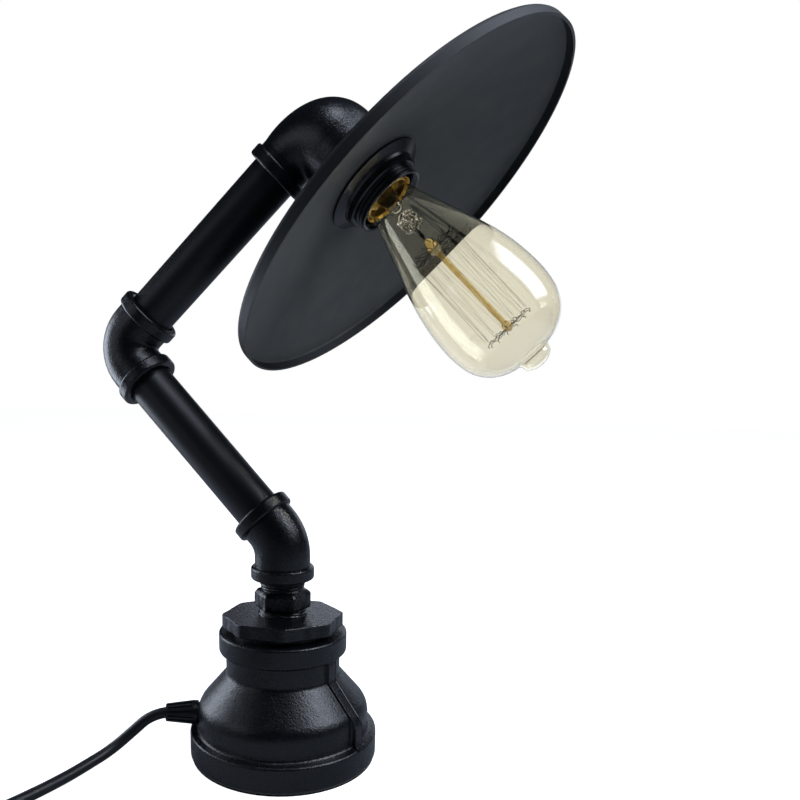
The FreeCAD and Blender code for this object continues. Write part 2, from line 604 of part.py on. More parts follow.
def wire_between(start, stop, radius):
    return Part.makeCylinder(radius, (stop - start).Length, start, stop - start)


def build_bulb():
    inner_radius = ("capThread", "-capWall")
    turned("bulb_cap", [(inner_radius, "insulatorTop"), (("capThread", -0.3), "insulatorTop"),
                        ("capThread", ("insulatorTop", 1.5)), ("capThread", "capSkirt"),
                        (inner_radius, "capSkirt")], HEAD_FRAME)
    turned("bulb_insulator", [(0, "insulatorFoot"), (5.2, "insulatorFoot"), (11.6, ("insulatorTop", -0.6)),
                              ((inner_radius, -0.05), "insulatorTop"),
                              ((inner_radius, -0.05), ("insulatorTop", 1.5)), (0, ("insulatorTop", 1.5))], HEAD_FRAME)
    turned("bulb_contact", [(0, "tipFoot"), (2.6, "tipFoot"), (4.4, ("tipFoot", 0.7)), (4.4, "insulatorFoot"),
                            (0, "insulatorFoot")], HEAD_FRAME)
    glass = bulb_shell(0.0).cut(bulb_shell(size("glassWall")))
    glass.Placement = HEAD_FRAME
    feature("bulb_glass", glass)
    root = ("glassNeck", "-glassWall", -0.05)
    turned("bulb_stem", [(0, 50.5), (root, 50.5), (root, 53), (9.6, 58), (5.4, 66), (4.2, 70), (4.2, 76),
                         (2.6, 78), (0, "rodFoot")], HEAD_FRAME)
    rod_foot = "rodFoot"
    turned("bulb_rod", [(0, rod_foot), ("rodRadius", rod_foot), ("rodRadius", ("cageTop", -3)),
                        (3.4, ("cageTop", -2)), (3.4, ("cageTop", 1.6)), ("rodRadius", ("cageTop", 3)),
                        ("rodRadius", ("cageFoot", -1.5)), (2.6, "cageFoot"), (2.6, ("rodTop", 0.6)),
                        (0, ("rodTop", 1.6))], HEAD_FRAME)
    count = int(size("cageWires"))
    thin = size("wireRadius")
    cage, top, foot = size("cageRadius"), size("cageTop"), size("cageFoot")
    spokes, strands = [], []
    for k in range(count):
        here, following = polar(cage, 360.0 * k / count), polar(cage, 360.0 * (k + 0.5) / count)
        high, low = Vector(here.x, here.y, top), Vector(following.x, following.y, foot)
        spokes.append(wire_between(Vector(here.x * 0.24, here.y * 0.24, top), high * 1.0, thin))
        spokes.append(wire_between(Vector(following.x * 0.18, following.y * 0.18, foot + 1), low, thin))
        strands.append(wire_between(high, low, thin * 0.6))
    for label, wires in (("bulb_supports", spokes), ("bulb_filament", strands)):
        bundle = Part.makeCompound(wires)
        bundle.Placement = HEAD_FRAME
        feature(label, bundle)
    leads = [wire_between(Vector(0, y, 77.5), Vector(0, 1.7 * y, top - 0.4), thin) for y in (-2.2, 2.2)]
    bundle = Part.makeCompound(leads)
    bundle.Placement = HEAD_FRAME
    feature("bulb_leads", bundle)


# ---- leads inside the lamp ----------------------------------------------------------------------

def build_inner_leads():
    """Sheathed flex through the base and the pipes, parted where the fittings turn."""
    flex = size("cordRadius") - 0.2
    joint_gap = 0.3
    inside_end = RELIEF_DIR * 40.5 + Vector(0, 0, size("reliefHeight"))
    tube("base_lead", [inside_end, inside_end - RELIEF_DIR * 9, Vector(-27, 0, 17), Vector(-24, 10, 10.6),
                       Vector(-12.7, 12, 10.2)], flex)
    low_face = size("lowerElbowHeight") - size("lowerReach")
    tube("riser_lead", [Vector(7.6, 12, 10.2), Vector(17, 12, 11.5), Vector(19, 9, 24), Vector(11, 4, 42),
                        Vector(1.5, 0.4, 62), Vector(0, -0.4, 88), Vector(0, 0, low_face + 12)], flex)
    start = Vector(0, 0, low_face + 12 + joint_gap)
    mid_joint = ELBOW_MID - LOWER_DIR * (size("middleReach") - size("insertion"))
    tube("lower_lead", [start, ELBOW_LOW, mid_joint], flex)
    top_joint = ELBOW_TOP - UPPER_DIR * (size("headReach") - size("insertion"))
    tube("upper_lead", [mid_joint + LOWER_DIR * joint_gap, ELBOW_MID, top_joint], flex)
    tube("head_lead", [top_joint + UPPER_DIR * joint_gap, ELBOW_TOP,
                       ELBOW_TOP + HEAD_DIR * size("coreFoot")], flex)


def build_terminals():
    """Terminal block and earth screw on the closing plate."""
    floor = size("padThick") + size("plateThick")
    body = box("block_body", (-12, 5, floor), 19, 14, 14)
    ways = [cylinder("block_way%d" % k, Placement(Vector(-13, 8 + 4 * k, floor + 5), Rotation(Vector(0, 1, 0), 90)),
                     1.4, 22) for k in range(3)]
    keep("terminal_block", cut("block_bored", body, fuse("block_ways", *ways)))
    place = Placement(Vector(20, -16, floor), Rotation())
    keep("earth_screw", fuse("earth_stud", cylinder("earth_shank", place, 2.0, 7),
                             cylinder("earth_nut", along(place, Vector(0, 0, 0.9)), 3.8, 2.6)))
    lug = fuse("lug_blank", cylinder("lug_ring", place, 4.2, 0.9), box("lug_tail", (0, -2, 0), 12, 4, 0.9, place))
    keep("earth_lug", cut("lug_bored", lug, cylinder("lug_hole", place, 2.1, 4)))


# ---- strain relief, cord, coil, switch and plug --------------------------------------------------

def build_relief():
    """Moulded strain relief: tapered core with lengthwise ribs, held in the casting by a locknut."""
    root = ("bodyRadius", 0.5)
    body = new_body("cord_relief")
    revolve(body, [(0, 40.5), ("reliefNeck", 40.5), ("reliefNeck", root), (("reliefRoot", -0.1), root),
                   (("reliefRoot", -0.1), (root, 2.4)), (("reliefRoot", -0.9), (root, 2.9)),
                   (("reliefTip", -0.8), ("reliefEnd", -1.4)), (("reliefTip", -0.1), ("reliefEnd", -1.2)),
                   (("reliefTip", -0.1), "reliefEnd"), (0, "reliefEnd")])
    rib = new_sketch(body, "XZ_Plane", "relief_rib_outline")
    draw_outline(rib, [(4.4, (root, 2.0)), ("reliefRoot", (root, 2.0)), ("reliefTip", ("reliefEnd", -0.8)),
                       (4.4, ("reliefEnd", -0.8))])
    pad = body.newObject("PartDesign::Pad", "relief_rib")
    pad.Profile = rib
    pad.Length = 1.5
    pad.Midplane = True
    doc.recompute()
    ring = body.newObject("PartDesign::PolarPattern", "relief_ribs")
    ring.Originals = [pad]
    ring.Axis = ([f for f in body.Origin.OriginFeatures if f.Role == "Z_Axis"][0], [""])
    ring.Angle = 360
    ring.Occurrences = int(size("reliefRibs"))
    body.Tip = ring
    doc.recompute()
    keep("cord_relief", body, RELIEF_FRAME)
    flat_up = Placement(Vector(0, 0, 41.0), Rotation(Vector(0, 0, 1), 30))
    nut = bound("Part::Prism", "relief_nut_blank", RELIEF_FRAME.multiply(flat_up), Polygon=6,
                Circumradius=("reliefNeck", 2.8), Height=2.6)
    bore = cylinder("relief_nut_bore", along(RELIEF_FRAME, Vector(0, 0, 40)), "reliefNeck", 8)
    keep("relief_locknut", cut("relief_nut_bored", nut, bore))


def build_cord():
    radius = size("cordRadius")
    exit_spot = RELIEF_DIR * size("reliefEnd") + Vector(0, 0, size("reliefHeight"))
    switch_in = Vector(size("switchX"), size("switchY"), size("switchSeam"))
    switch_out = switch_in + SWITCH_DIR * size("switchLength")
    centre = Vector(size("coilX"), size("coilY"), 0)
    tube("cord_lead", [exit_spot, Vector(-71.4, -34.9, 23.6), Vector(-79.6, -43.8, 14.4),
                       Vector(-86.2, -55.3, 7.0), Vector(-90.3, -69.6, 4.5), Vector(-93.7, -88.5, radius),
                       Vector(-98.5, -112.0, radius), Vector(-103.6, -134.0, 4.0), switch_in], radius)
    coil_in = centre + Vector(-size("coilOuter"), 0, radius)
    tube("cord_link", [switch_out, switch_out + Vector(-1.0, -12.5, -1.8), coil_in + Vector(0.3, 12.0, 0), coil_in],
         radius)
    top = 4 * radius
    inner, outer = size("coilInner") - radius, size("coilOuter") + radius
    body = new_body("cord_coil")
    solid = revolve(body, [(inner, 0), (outer, 0), (outer, top), (inner, top)])
    round_circles(body, solid, [(inner, 0), (outer, 0), (outer, top), (inner, top)], 2.6)
    keep("cord_coil", body, Placement(centre, Rotation()))

    heading = polar(1, size("plugHeading"))
    coil_out = centre + polar(size("coilOuter"), size("plugHeading") - 90, 3 * radius)
    plug_in = coil_out + heading * 40 + Vector(0, 0, size("plugRadius") - 3 * radius)
    tube("cord_tail", [coil_out, coil_out + heading * 13 + Vector(0.2, -0.2, 1.4),
                       coil_out + heading * 26 + Vector(0, 0, 6.4), plug_in], radius)

    tie_place = Placement(centre, Rotation(Vector(0, 0, 1), 84))
    loop_outer = box("tie_outer", (inner - 1.0, -2.5, 0), outer - inner + 2.0, 5, top + 0.8, tie_place)
    loop_inner = box("tie_inner", (inner, -3.5, 0.6), outer - inner, 7, top - 0.6, tie_place)
    keep("coil_tie", cut("tie_loop", loop_outer, loop_inner))
    return plug_in, heading


def switch_plan(grow):
    """Half plan of the switch, as (distance along, half width) corners, both ends drawn in."""
    return [(0 - grow, 5.6), (7.0 - grow * 0.5, 10.6 + grow), (18.0, 12.0 + grow), (40.0, 12.0 + grow),
            (51.0 + grow * 0.5, 10.6 + grow), (58.0 + grow, 5.6)]


def switch_slab(name, grow, foot, height):
    body = new_body(name)
    sketch = new_sketch(body, "XY_Plane", name + "_plan")
    half = switch_plan(grow)
    draw_outline(sketch, [(x, -y) for x, y in half] + [(x, y) for x, y in reversed(half)])
    pad = body.newObject("PartDesign::Pad", name + "_pad")
    pad.Profile = sketch
    pad.Length = height
    body.Placement = Placement(Vector(0, 0, foot), Rotation())
    doc.recompute()
    return body


def flat_at(height):
    """Edge test: the edge lies level at the given height."""
    return lambda edge: all(abs(vertex.Point.z - height) < 0.01 for vertex in edge.Vertexes)


def build_switch():
    seam, top = size("switchSeam"), size("switchTop")
    wall = 1.8
    middle = size("switchLength") / 2
    pivot = Vector(middle, 0, 9.2)
    cord_ways = fuse("switch_cord_ways", *[cylinder("switch_way%d" % k, Placement(Vector(x, 0, seam),
                     Rotation(Vector(0, 1, 0), 90)), "cordRadius", 8.5) for k, x in enumerate((-0.5, 50.0))])

    slab = soften("switch_lower_round", switch_slab("switch_lower_slab", 0.0, 0.0, seam), 1.4, flat_at(0.0))
    hollow = box("switch_lower_hollow", (8.0, -9.2, wall), 42.0, 18.4, seam)
    screw_spots = [Vector(13.0, -6.4, 0), Vector(45.0, 6.4, 0)]
    posts = [cylinder("switch_post%d" % k, Placement(spot + Vector(0, 0, wall - 0.2), Rotation()), 2.4,
                      seam - wall + 0.2) for k, spot in enumerate(screw_spots)]
    holes = [cylinder("switch_hole%d" % k, Placement(spot - Vector(0, 0, 1), Rotation()), 1.3, 12)
             for k, spot in enumerate(screw_spots)]
    seats = [cylinder("switch_seat%d" % k, Placement(spot - Vector(0, 0, 0.5), Rotation()), 2.3, 1.7)
             for k, spot in enumerate(screw_spots)]
    lower = fuse("switch_lower_body", cut("switch_lower_cup", slab, hollow), *posts)
    keep("switch_lower", cut("switch_lower_cut", lower, fuse("switch_lower_holes", cord_ways, *(holes + seats))),
         SWITCH_FRAME)

    slab = soften("switch_upper_round", switch_slab("switch_upper_slab", 0.0, seam, top - seam), 2.2, flat_at(top))
    hollow = box("switch_upper_hollow", (8.0, -9.2, seam - 1), 42.0, 18.4, top - seam + 1 - wall)
    window = box("switch_window", (middle - 9.4, -5.1, seam), 18.8, 10.2, 12)
    cheeks = [box("switch_cheek%d" % k, (middle - 4, y, seam + 0.6), 8, 2, top - seam - wall - 0.4)
              for k, y in enumerate((-7.1, 5.1))]
    pegs = [cylinder("switch_peg%d" % k, Placement(spot + Vector(0, 0, seam), Rotation()), 2.4, top - seam - wall + 0.2)
            for k, spot in enumerate(screw_spots)]
    axle_hole = cylinder("switch_axle_hole", Placement(pivot + Vector(0, -7.5, 0), Rotation(Vector(1, 0, 0), -90)),
                         1.26, 15)
    screw_ways = [cylinder("switch_blind%d" % k, Placement(spot + Vector(0, 0, seam - 1), Rotation()), 1.2, 5.2)
                  for k, spot in enumerate(screw_spots)]
    cup = fuse("switch_upper_body", cut("switch_upper_cup", slab, hollow), *(cheeks + pegs))
    cord_copy = fuse("switch_cord_ways_top", *[cylinder("switch_way_top%d" % k, Placement(Vector(x, 0, seam),
                     Rotation(Vector(0, 1, 0), 90)), "cordRadius", 8.5) for k, x in enumerate((-0.5, 50.0))])
    keep("switch_upper", cut("switch_upper_cut", cup, fuse("switch_upper_holes", window, axle_hole, cord_copy,
                                                           *screw_ways)), SWITCH_FRAME)
    group("switch_screws", *[fuse("switch_screw%d" % k,
          cylinder("switch_screw_head%d" % k, along(SWITCH_FRAME, spot + Vector(0, 0, 0.2)), 2.1, 0.95),
          cylinder("switch_screw_shank%d" % k, along(SWITCH_FRAME, spot + Vector(0, 0, 0.2)), 1.2, 9.0))
          for k, spot in enumerate(screw_spots)])

    body = new_body("switch_rocker_blank")
    sketch = new_sketch(body, "XZ_Plane", "rocker_side")
    draw_outline(sketch, [(-8.2, 0.6), (-5.0, -2.2), (5.0, -2.2), (8.2, 0.6), (8.2, 5.2), (0, 4.2), (-8.2, 5.2)])
    pad = body.newObject("PartDesign::Pad", "rocker_pad")
    pad.Profile = sketch
    pad.Length = 9.6
    pad.Midplane = True
    doc.recompute()
    axle = cylinder("rocker_axle", Placement(Vector(0, -6.8, 0), Rotation(Vector(1, 0, 0), -90)), 1.2, 13.6)
    tilted = SWITCH_FRAME.multiply(Placement(pivot, Rotation(Vector(0, 1, 0), size("rockerTilt"))))
    keep("switch_rocker", fuse("rocker_solid", body, axle), tilted)

    blades = [box("contact_blade0", (10.5, -3.6, wall), 9.5, 4.4, 1.2, SWITCH_FRAME),
              box("contact_blade1", (38.0, -3.6, wall), 9.5, 4.4, 1.2, SWITCH_FRAME),
              box("contact_fork", (24.0, -2.2, wall), 10.0, 4.4, 0.8, SWITCH_FRAME)]
    group("switch_contacts", *blades)


def build_plug(entry, heading):
    place = frame(entry, Vector(0, 0, 1), heading)
    rear, face = 24.0, 44.0
    bore_depth = 8.0
    body = new_body("plug_blank")
    solid = revolve(body, [(0, bore_depth), ("cordRadius", bore_depth), ("cordRadius", 0), (4.6, 0), (6.4, 16.0),
                           (9.5, 17.5), ("plugRadius", (rear, 2.5)), ("plugRadius", face), (0, face)])
    round_circles(body, solid, [("plugRadius", (rear, 2.5)), ("plugRadius", face)], 1.6)
    body.Placement = place
    notches = [box("plug_notch%d" % k, (-2.8, y, face - 15), 5.6, 4, 16, place)
               for k, y in enumerate((-size("plugRadius") - 0.1, size("plugRadius") - 3.9))]
    side = size("pinSpacing") / 2
    pin_holes = [cylinder("plug_pin_hole%d" % k, along(place, Vector(x, 0, face - 8)), "pinRadius", 12)
                 for k, x in enumerate((-side, side))]
    earth_hole = cylinder("plug_earth_hole", along(place, Vector(0, -10.0, face - 14)), 2.7, 18)
    keep("plug_body", cut("plug_cut", body, fuse("plug_hollows", *(notches + pin_holes + [earth_hole]))))
    pins = []
    for k, x in enumerate((-side, side)):
        rod = new_body("plug_pin%d" % k)
        solid = revolve(rod, [(0, 0), ("pinRadius", 0), ("pinRadius", ("pinLength", 8)), (0, ("pinLength", 8))])
        round_circles(rod, solid, [("pinRadius", ("pinLength", 8))], 1.2)
        rod.Placement = along(place, Vector(x, 0, face - 8))
        pins.append(rod)
    group("plug_pins", *pins)
    group("plug_earth_clips", *[box("earth_clip%d" % k, (-2.4, y, face - 14), 4.8, 1.0, 14, place)
                                for k, y in enumerate((-size("plugRadius") + 2.8, size("plugRadius") - 3.8))])


build_foot()
build_base_socket()
build_bush_and_nipple()
build_arm()
build_head_elbow()
build_lampholder()
build_shade()
build_bulb()
build_inner_leads()
build_terminals()
build_relief()
plug_entry, plug_heading = build_cord()
build_switch()
build_plug(plug_entry, plug_heading)
doc.recompute()

faults = [obj.Label for obj in doc.Objects if "Invalid" in obj.State or "Error" in obj.State]
faults += [name for name, obj in nodes.items() if obj.Shape.isNull() or not obj.Shape.isValid()]
if faults:
    raise RuntimeError("these did not build: " + ", ".join(faults))

os.makedirs("parts", exist_ok=True)
for name, obj in nodes.items():
    obj.Shape.exportStep(os.path.join("parts", name + ".step"))
    print("%-20s %2d solid(s) %10.0f cubic mm" % (name, len(obj.Shape.Solids), obj.Shape.Volume))
print("%d sub-parts" % len(nodes))
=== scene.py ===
import json
import math

import bpy
import numpy as np
from mathutils import Matrix, Vector


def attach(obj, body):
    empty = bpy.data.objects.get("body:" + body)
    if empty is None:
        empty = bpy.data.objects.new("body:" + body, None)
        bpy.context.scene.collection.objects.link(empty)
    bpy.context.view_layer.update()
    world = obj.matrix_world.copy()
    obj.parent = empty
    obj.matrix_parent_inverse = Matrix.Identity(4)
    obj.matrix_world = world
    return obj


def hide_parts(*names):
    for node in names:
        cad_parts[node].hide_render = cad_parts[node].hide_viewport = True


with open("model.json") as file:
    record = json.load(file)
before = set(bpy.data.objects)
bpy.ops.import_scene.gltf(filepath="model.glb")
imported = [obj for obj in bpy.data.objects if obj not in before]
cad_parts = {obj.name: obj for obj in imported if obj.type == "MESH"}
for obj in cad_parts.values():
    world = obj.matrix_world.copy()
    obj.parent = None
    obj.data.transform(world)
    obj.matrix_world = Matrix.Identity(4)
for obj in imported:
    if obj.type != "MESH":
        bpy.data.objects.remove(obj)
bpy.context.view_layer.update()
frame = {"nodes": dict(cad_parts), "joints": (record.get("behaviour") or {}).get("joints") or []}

mm = 0.001
random = np.random.default_rng(5)
joints = {joint["name"]: joint for joint in frame["joints"]}
print("frame loaded,", len(frame["nodes"]), "nodes")


# places and directions taken from the joints

def unit(vector):
    return np.array(vector, float) / np.linalg.norm(vector)


def place(origin, xDir, zDir):  # origin, X, Y and Z of a local frame, as four rows
    z = unit(zDir)
    x = unit(np.array(xDir, float) - np.dot(xDir, z) * z)
    return np.array([origin, x, np.cross(z, x), z])


def toWorld(local, points):  # local points in metres to the lamp's own frame: origin + x * X + y * Y + z * Z
    return local[0] + points @ local[1:]


topElbowAt = np.array(joints["head_turn"]["pos_m"])
upperDir = unit(joints["head_turn"]["axis"])
headDir = unit(joints["bulb_turn"]["axis"])
upright = place((0, 0, 0), (1, 0, 0), (0, 0, 1))
headPlace = place(topElbowAt, upperDir, headDir)


# camera

cameraFacts = {"azimuth": 23.78, "elevation": 11.90, "roll": 0.24, "distance": 0.45535,
               "lookAt": (0.01665, 0.00734, 0.13588), "lens": 35.53, "shiftX": 0.1075, "shiftY": 0.1647}


def makeCamera(facts):  # stands back from lookAt by distance, azimuth counted from -Y, elevation upwards
    az, el, roll = (math.radians(facts[k]) for k in ("azimuth", "elevation", "roll"))
    back = Vector((math.sin(az) * math.cos(el), -math.cos(az) * math.cos(el), math.sin(el)))
    right = Vector((math.cos(az), math.sin(az), 0))
    up = back.cross(right)
    sideways = right * math.cos(roll) + up * math.sin(roll)
    upwards = up * math.cos(roll) - right * math.sin(roll)
    turn = Matrix((sideways, upwards, back)).transposed().to_4x4()
    lens = bpy.data.cameras.new("camera")
    lens.lens, lens.shift_x, lens.shift_y = facts["lens"], facts["shiftX"], facts["shiftY"]
    lens.clip_start = 0.01
    camera = bpy.data.objects.new("camera", lens)
    camera.matrix_world = Matrix.Translation(Vector(facts["lookAt"]) + back * facts["distance"]) @ turn
    bpy.context.scene.collection.objects.link(camera)
    bpy.context.scene.camera = camera


makeCamera(cameraFacts)
print("camera set")


# cord: one spline from the strain relief through the switch and the coil to the plug

cordFacts = {"diameter": 6.6, "length": 1.8, "ringSteps": 7, "spanSteps": 6,
             "reliefAngle": 206.0, "reliefEnd": 70.2, "reliefHeight": 25.0,
             "falling": [(-71.4, -34.9, 23.6), (-79.6, -43.8, 14.4), (-86.2, -55.3, 7.0),
                         (-90.3, -69.6, 4.5)],
             "lying": [(-93.7, -88.5, 3.3), (-98.5, -112.0, 3.3), (-103.6, -134.0, 4.0)],
             "switchStart": (-105.5, -150.0, 6.0), "switchHeading": -92.8, "switchLength": 58.0,
             "pastSwitch": (-1.0, -12.5, -1.8), "beforeCoil": (0.3, 12.0, 0.0),
             "coilCentre": (-62.1, -246.0), "coilOuter": 47.9, "coilInner": 26.5, "coilStart": 180.0,
             "fullTurns": 6, "layerStep": 0.35, "pointsPerTurn": 16,
             "pastCoil": [(13.0, (0.2, -0.2, 1.4)), (26.0, (0.0, 0.0, 6.4))],
             "plugHeading": 45.0, "plugHeight": 18.5, "plugReach": 40.0}


def heading(degrees):  # level direction at this angle from X
    return np.array([math.cos(math.radians(degrees)), math.sin(math.radians(degrees)), 0.0])


def coilPoints(facts):
    # a spiral in two layers, inwards on the floor and outwards on top: the radius goes evenly from outer to
    # inner and back, and the height climbs by one diameter in the middle, within layerStep of a turn
    lowest = facts["diameter"] / 2
    turns = facts["fullTurns"] + (facts["plugHeading"] - 90 - facts["coilStart"]) % 360 / 360
    along = np.linspace(0, turns, int(turns * facts["pointsPerTurn"]) + 1)
    inward = np.minimum(along, turns - along) / (turns / 2)
    radius = facts["coilOuter"] + (facts["coilInner"] - facts["coilOuter"]) * inward
    angle = math.radians(facts["coilStart"]) + 2 * math.pi * along
    climb = np.clip((along - turns / 2) / facts["layerStep"] + 0.5, 0, 1)
    x, y = facts["coilCentre"]
    return np.stack([x + radius * np.cos(angle), y + radius * np.sin(angle), lowest + 2 * lowest * climb], 1)


def cordRoute(facts):  # the points that the cord passes, in metres
    start = heading(facts["reliefAngle"]) * facts["reliefEnd"] + np.array([0, 0, facts["reliefHeight"]])
    switchStart = np.array(facts["switchStart"])
    switchEnd = switchStart + heading(facts["switchHeading"]) * facts["switchLength"]
    coil = coilPoints(facts)
    link = [switchEnd + facts["pastSwitch"], coil[0] + facts["beforeCoil"]]
    towardPlug = heading(facts["plugHeading"])
    tail = [coil[-1] + towardPlug * reach + lift for reach, lift in facts["pastCoil"]]
    plugEntry = coil[-1] + towardPlug * facts["plugReach"]
    plugEntry[2] = facts["plugHeight"]
    points = [start] + facts["falling"] + facts["lying"] + [switchStart, switchEnd] + link
    return np.concatenate([np.array(points, float), coil, np.array(tail + [plugEntry])]) * mm


def makeCord(facts):
    points = cordRoute(facts)
    curve = bpy.data.curves.new("cord", "CURVE")
    curve.dimensions = "3D"
    curve.bevel_depth = 1.0  # times each point's own radius, which also keeps the curve's box true
    curve.bevel_resolution = facts["ringSteps"]
    curve.resolution_u = facts["spanSteps"]
    curve.use_fill_caps = True
    spline = curve.splines.new("NURBS")
    spline.points.add(len(points) - 1)
    spline.points.foreach_set("co", np.c_[points, np.ones(len(points))].ravel())
    spline.points.foreach_set("radius", np.full(len(points), facts["diameter"] / 2 * mm))
    spline.use_endpoint_u = True
    spline.order_u = 3  # keeps close to its points
    cord = bpy.data.objects.new("cord", curve)
    bpy.context.scene.collection.objects.link(cord)
    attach(cord, "stand")
    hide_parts("cord_lead", "cord_link", "cord_coil", "cord_tail")
    return cord, points


cord, cordPoints = makeCord(cordFacts)
print("cord laid,", len(cordPoints), "points")


# surfaces worked out on a grid

onePlace = 1e-7  # metres: an end row no wider than this is one spot


def gridFaces(points, closed, first):
    # points: rows, columns, xyz. Columns wrap, and so do rows where closed; on an open grid an end row that
    # has shrunk to one spot becomes a single vertex with a fan round it. first is the number of the grid's
    # first vertex in the mesh.
    rows, columns = points.shape[:2]
    shrunk = [not closed and np.ptp(points[row], axis=0).max() < onePlace for row in (0, -1)]
    body = points[int(shrunk[0]):rows - int(shrunk[1])]
    index = first + np.arange(len(body) * columns).reshape(-1, columns)
    after = np.roll(index, -1, 1)
    upper, upperAfter = (np.roll(index, -1, 0), np.roll(after, -1, 0)) if closed else (index[1:], after[1:])
    lower, lowerAfter = (index, after) if closed else (index[:-1], after[:-1])
    faces = np.stack([lower, lowerAfter, upperAfter, upper], -1).reshape(-1, 4).tolist()
    vertices = body.reshape(-1, 3)
    for end, row, sense in ((0, 0, 1), (1, -1, -1)):
        if shrunk[end]:
            tip = np.full(columns, first + len(vertices))
            vertices = np.vstack([vertices, points[row, :1]])
            faces += np.stack([tip, after[row], index[row]][::sense], -1).tolist()
    return vertices, faces


def pieceFromGrids(name, grids, closed=False):  # one mesh of all the grids, at the origin
    vertices, faces = np.zeros((0, 3)), []
    for grid in grids:
        more, moreFaces = gridFaces(grid, closed, len(vertices))
        vertices, faces = np.vstack([vertices, more]), faces + moreFaces
    mesh = bpy.data.meshes.new(name)
    mesh.from_pydata(vertices.tolist(), [], faces)
    mesh.shade_smooth()
    piece = bpy.data.objects.new(name, mesh)
    bpy.context.scene.collection.objects.link(piece)
    return piece


def wireGrid(path, radius, side, sides=6):
    # round wire along path: centre + radius * (cos a * u + sin a * v), where u is the side direction freed of
    # its part along the path and v = t x u; both ends close to a point
    path = np.array(path, float)
    t = np.gradient(path, axis=0)
    t /= np.linalg.norm(t, axis=1)[:, None]
    u = side - (t @ side)[:, None] * t
    u /= np.linalg.norm(u, axis=1)[:, None]
    v = np.cross(t, u)
    a = np.linspace(0, 2 * math.pi, sides, endpoint=False)[None, :, None]
    rings = path[:, None] + radius * (np.cos(a) * u[:, None] + np.sin(a) * v[:, None])
    ends = [np.repeat(path[row][None, None], sides, 1) for row in (0, -1)]
    return np.concatenate([ends[0], rings, ends[1]])


def roundedOutline(corners, closed, steps=6, guard=0.12, share=0.47, straight=1.56):
    # corners are (radius, along, rounding) in mm: each corner with a rounding becomes a tangent arc that
    # takes up to this share of the flats beside it, with a guard row just outside each end of the arc so
    # that the flats shade flat. A corner whose half angle is past straight, in radians, has no arc.
    count = len(corners)
    outline = []
    for i, (radius, along, rounding) in enumerate(corners):
        here = np.array([radius, along], float)
        if not closed and i in (0, count - 1):
            outline.append(here)
            continue
        back = np.array(corners[i - 1][:2], float) - here
        ahead = np.array(corners[(i + 1) % count][:2], float) - here
        backLength, aheadLength = np.linalg.norm(back), np.linalg.norm(ahead)
        back, ahead = back / backLength, ahead / aheadLength
        half = math.acos(np.clip(np.dot(back, ahead), -1, 1)) / 2
        reach = min(rounding / math.tan(half), share * min(backLength, aheadLength)) if half < straight else 0
        if rounding <= 0 or reach <= 0:
            before, after = (min(guard, length / 3) for length in (backLength, aheadLength))
            outline += [here + back * before, here, here + ahead * after]
            continue
        inward = unit(back + ahead)
        arcRadius = reach * math.tan(half)
        centre = here + inward * (arcRadius / math.sin(half))
        first, last = here + back * reach - centre, here + ahead * reach - centre
        sweep = math.atan2(first[0] * last[1] - first[1] * last[0], np.dot(first, last))
        turns = sweep * np.linspace(0, 1, steps + 1)
        arc = centre + np.stack([first[0] * np.cos(turns) - first[1] * np.sin(turns),
                                 first[0] * np.sin(turns) + first[1] * np.cos(turns)], 1)
        outline.append(here + back * min(reach + guard, backLength * 0.5))
        outline += list(arc)
        outline.append(here + ahead * min(reach + guard, aheadLength * 0.5))
    return np.array(outline)


def turnedPiece(name, corners, local, segments=96, shape=None, closed=True, angles=None):
    # a profile of (radius, along) turned about the local Z axis; shape changes both from the angle
    outline = roundedOutline(corners, closed) if len(corners[0]) == 3 else np.array(corners, float)
    angle = np.linspace(0, 2 * math.pi, segments, endpoint=False) if angles is None else angles
    radius = np.repeat(outline[:, :1], len(angle), 1)
    height = np.repeat(outline[:, 1:], len(angle), 1)
    if shape:
        radius, height = shape(angle[None, :], radius, height)
    points = np.stack([radius * np.cos(angle), radius * np.sin(angle), height], -1) * mm
    return pieceFromGrids(name, [toWorld(local, points.reshape(-1, 3)).reshape(points.shape)], closed)


def fineRows(corners, step):  # the same outline with its runs divided into rows about a step apart
    outline = np.array(corners, float)
    runs = [here + (there - here) * np.linspace(0, 1, max(1, round(np.linalg.norm(there - here) / step)),
                                                endpoint=False)[:, None]
            for here, there in zip(outline[:-1], outline[1:])]
    return np.vstack(runs + [outline[-1:]])


# materials

paintDepths = {"lump": 0.4, "grain": 0.22, "peel": 0.06}  # mm from valley to top in the relief of a paint
glassIor = 1.46
glassRelief = 0.4  # mm


def colour(hexText, alpha=1.0):  # sRGB hex to linear
    channels = [int(hexText[i:i + 2], 16) / 255 for i in (1, 3, 5)]
    return [c / 12.92 if c <= 0.04045 else ((c + 0.055) / 1.055) ** 2.4 for c in channels] + [alpha]


def addNode(tree, kind, settings=None, links=None):
    node = tree.nodes.new(kind)
    for name, value in (settings or {}).items():
        if isinstance(name, int) or name in node.inputs:
            node.inputs[name].default_value = value
        else:
            setattr(node, name, value)
    for name, source in (links or {}).items():
        tree.links.new(source, node.inputs[name])
    return node


def newMaterial(name):  # a material, its nodes, its shader, and the place on the piece
    material = bpy.data.materials.new(name)
    material.use_nodes = True
    tree = material.node_tree
    place3d = addNode(tree, "ShaderNodeTexCoord").outputs["Object"]
    return material, tree, tree.nodes["Principled BSDF"], place3d


def perSize(sizeMm):  # noise scale whose features are about this many mm
    return 1 / (sizeMm * mm)


def ramp(tree, source, stops):  # colour by value: hex colours at these positions
    node = addNode(tree, "ShaderNodeValToRGB", links={"Fac": source})
    for element, (position, hexText) in zip(node.color_ramp.elements, stops):
        element.position = position
        element.color = colour(hexText)
    return node.outputs["Color"]


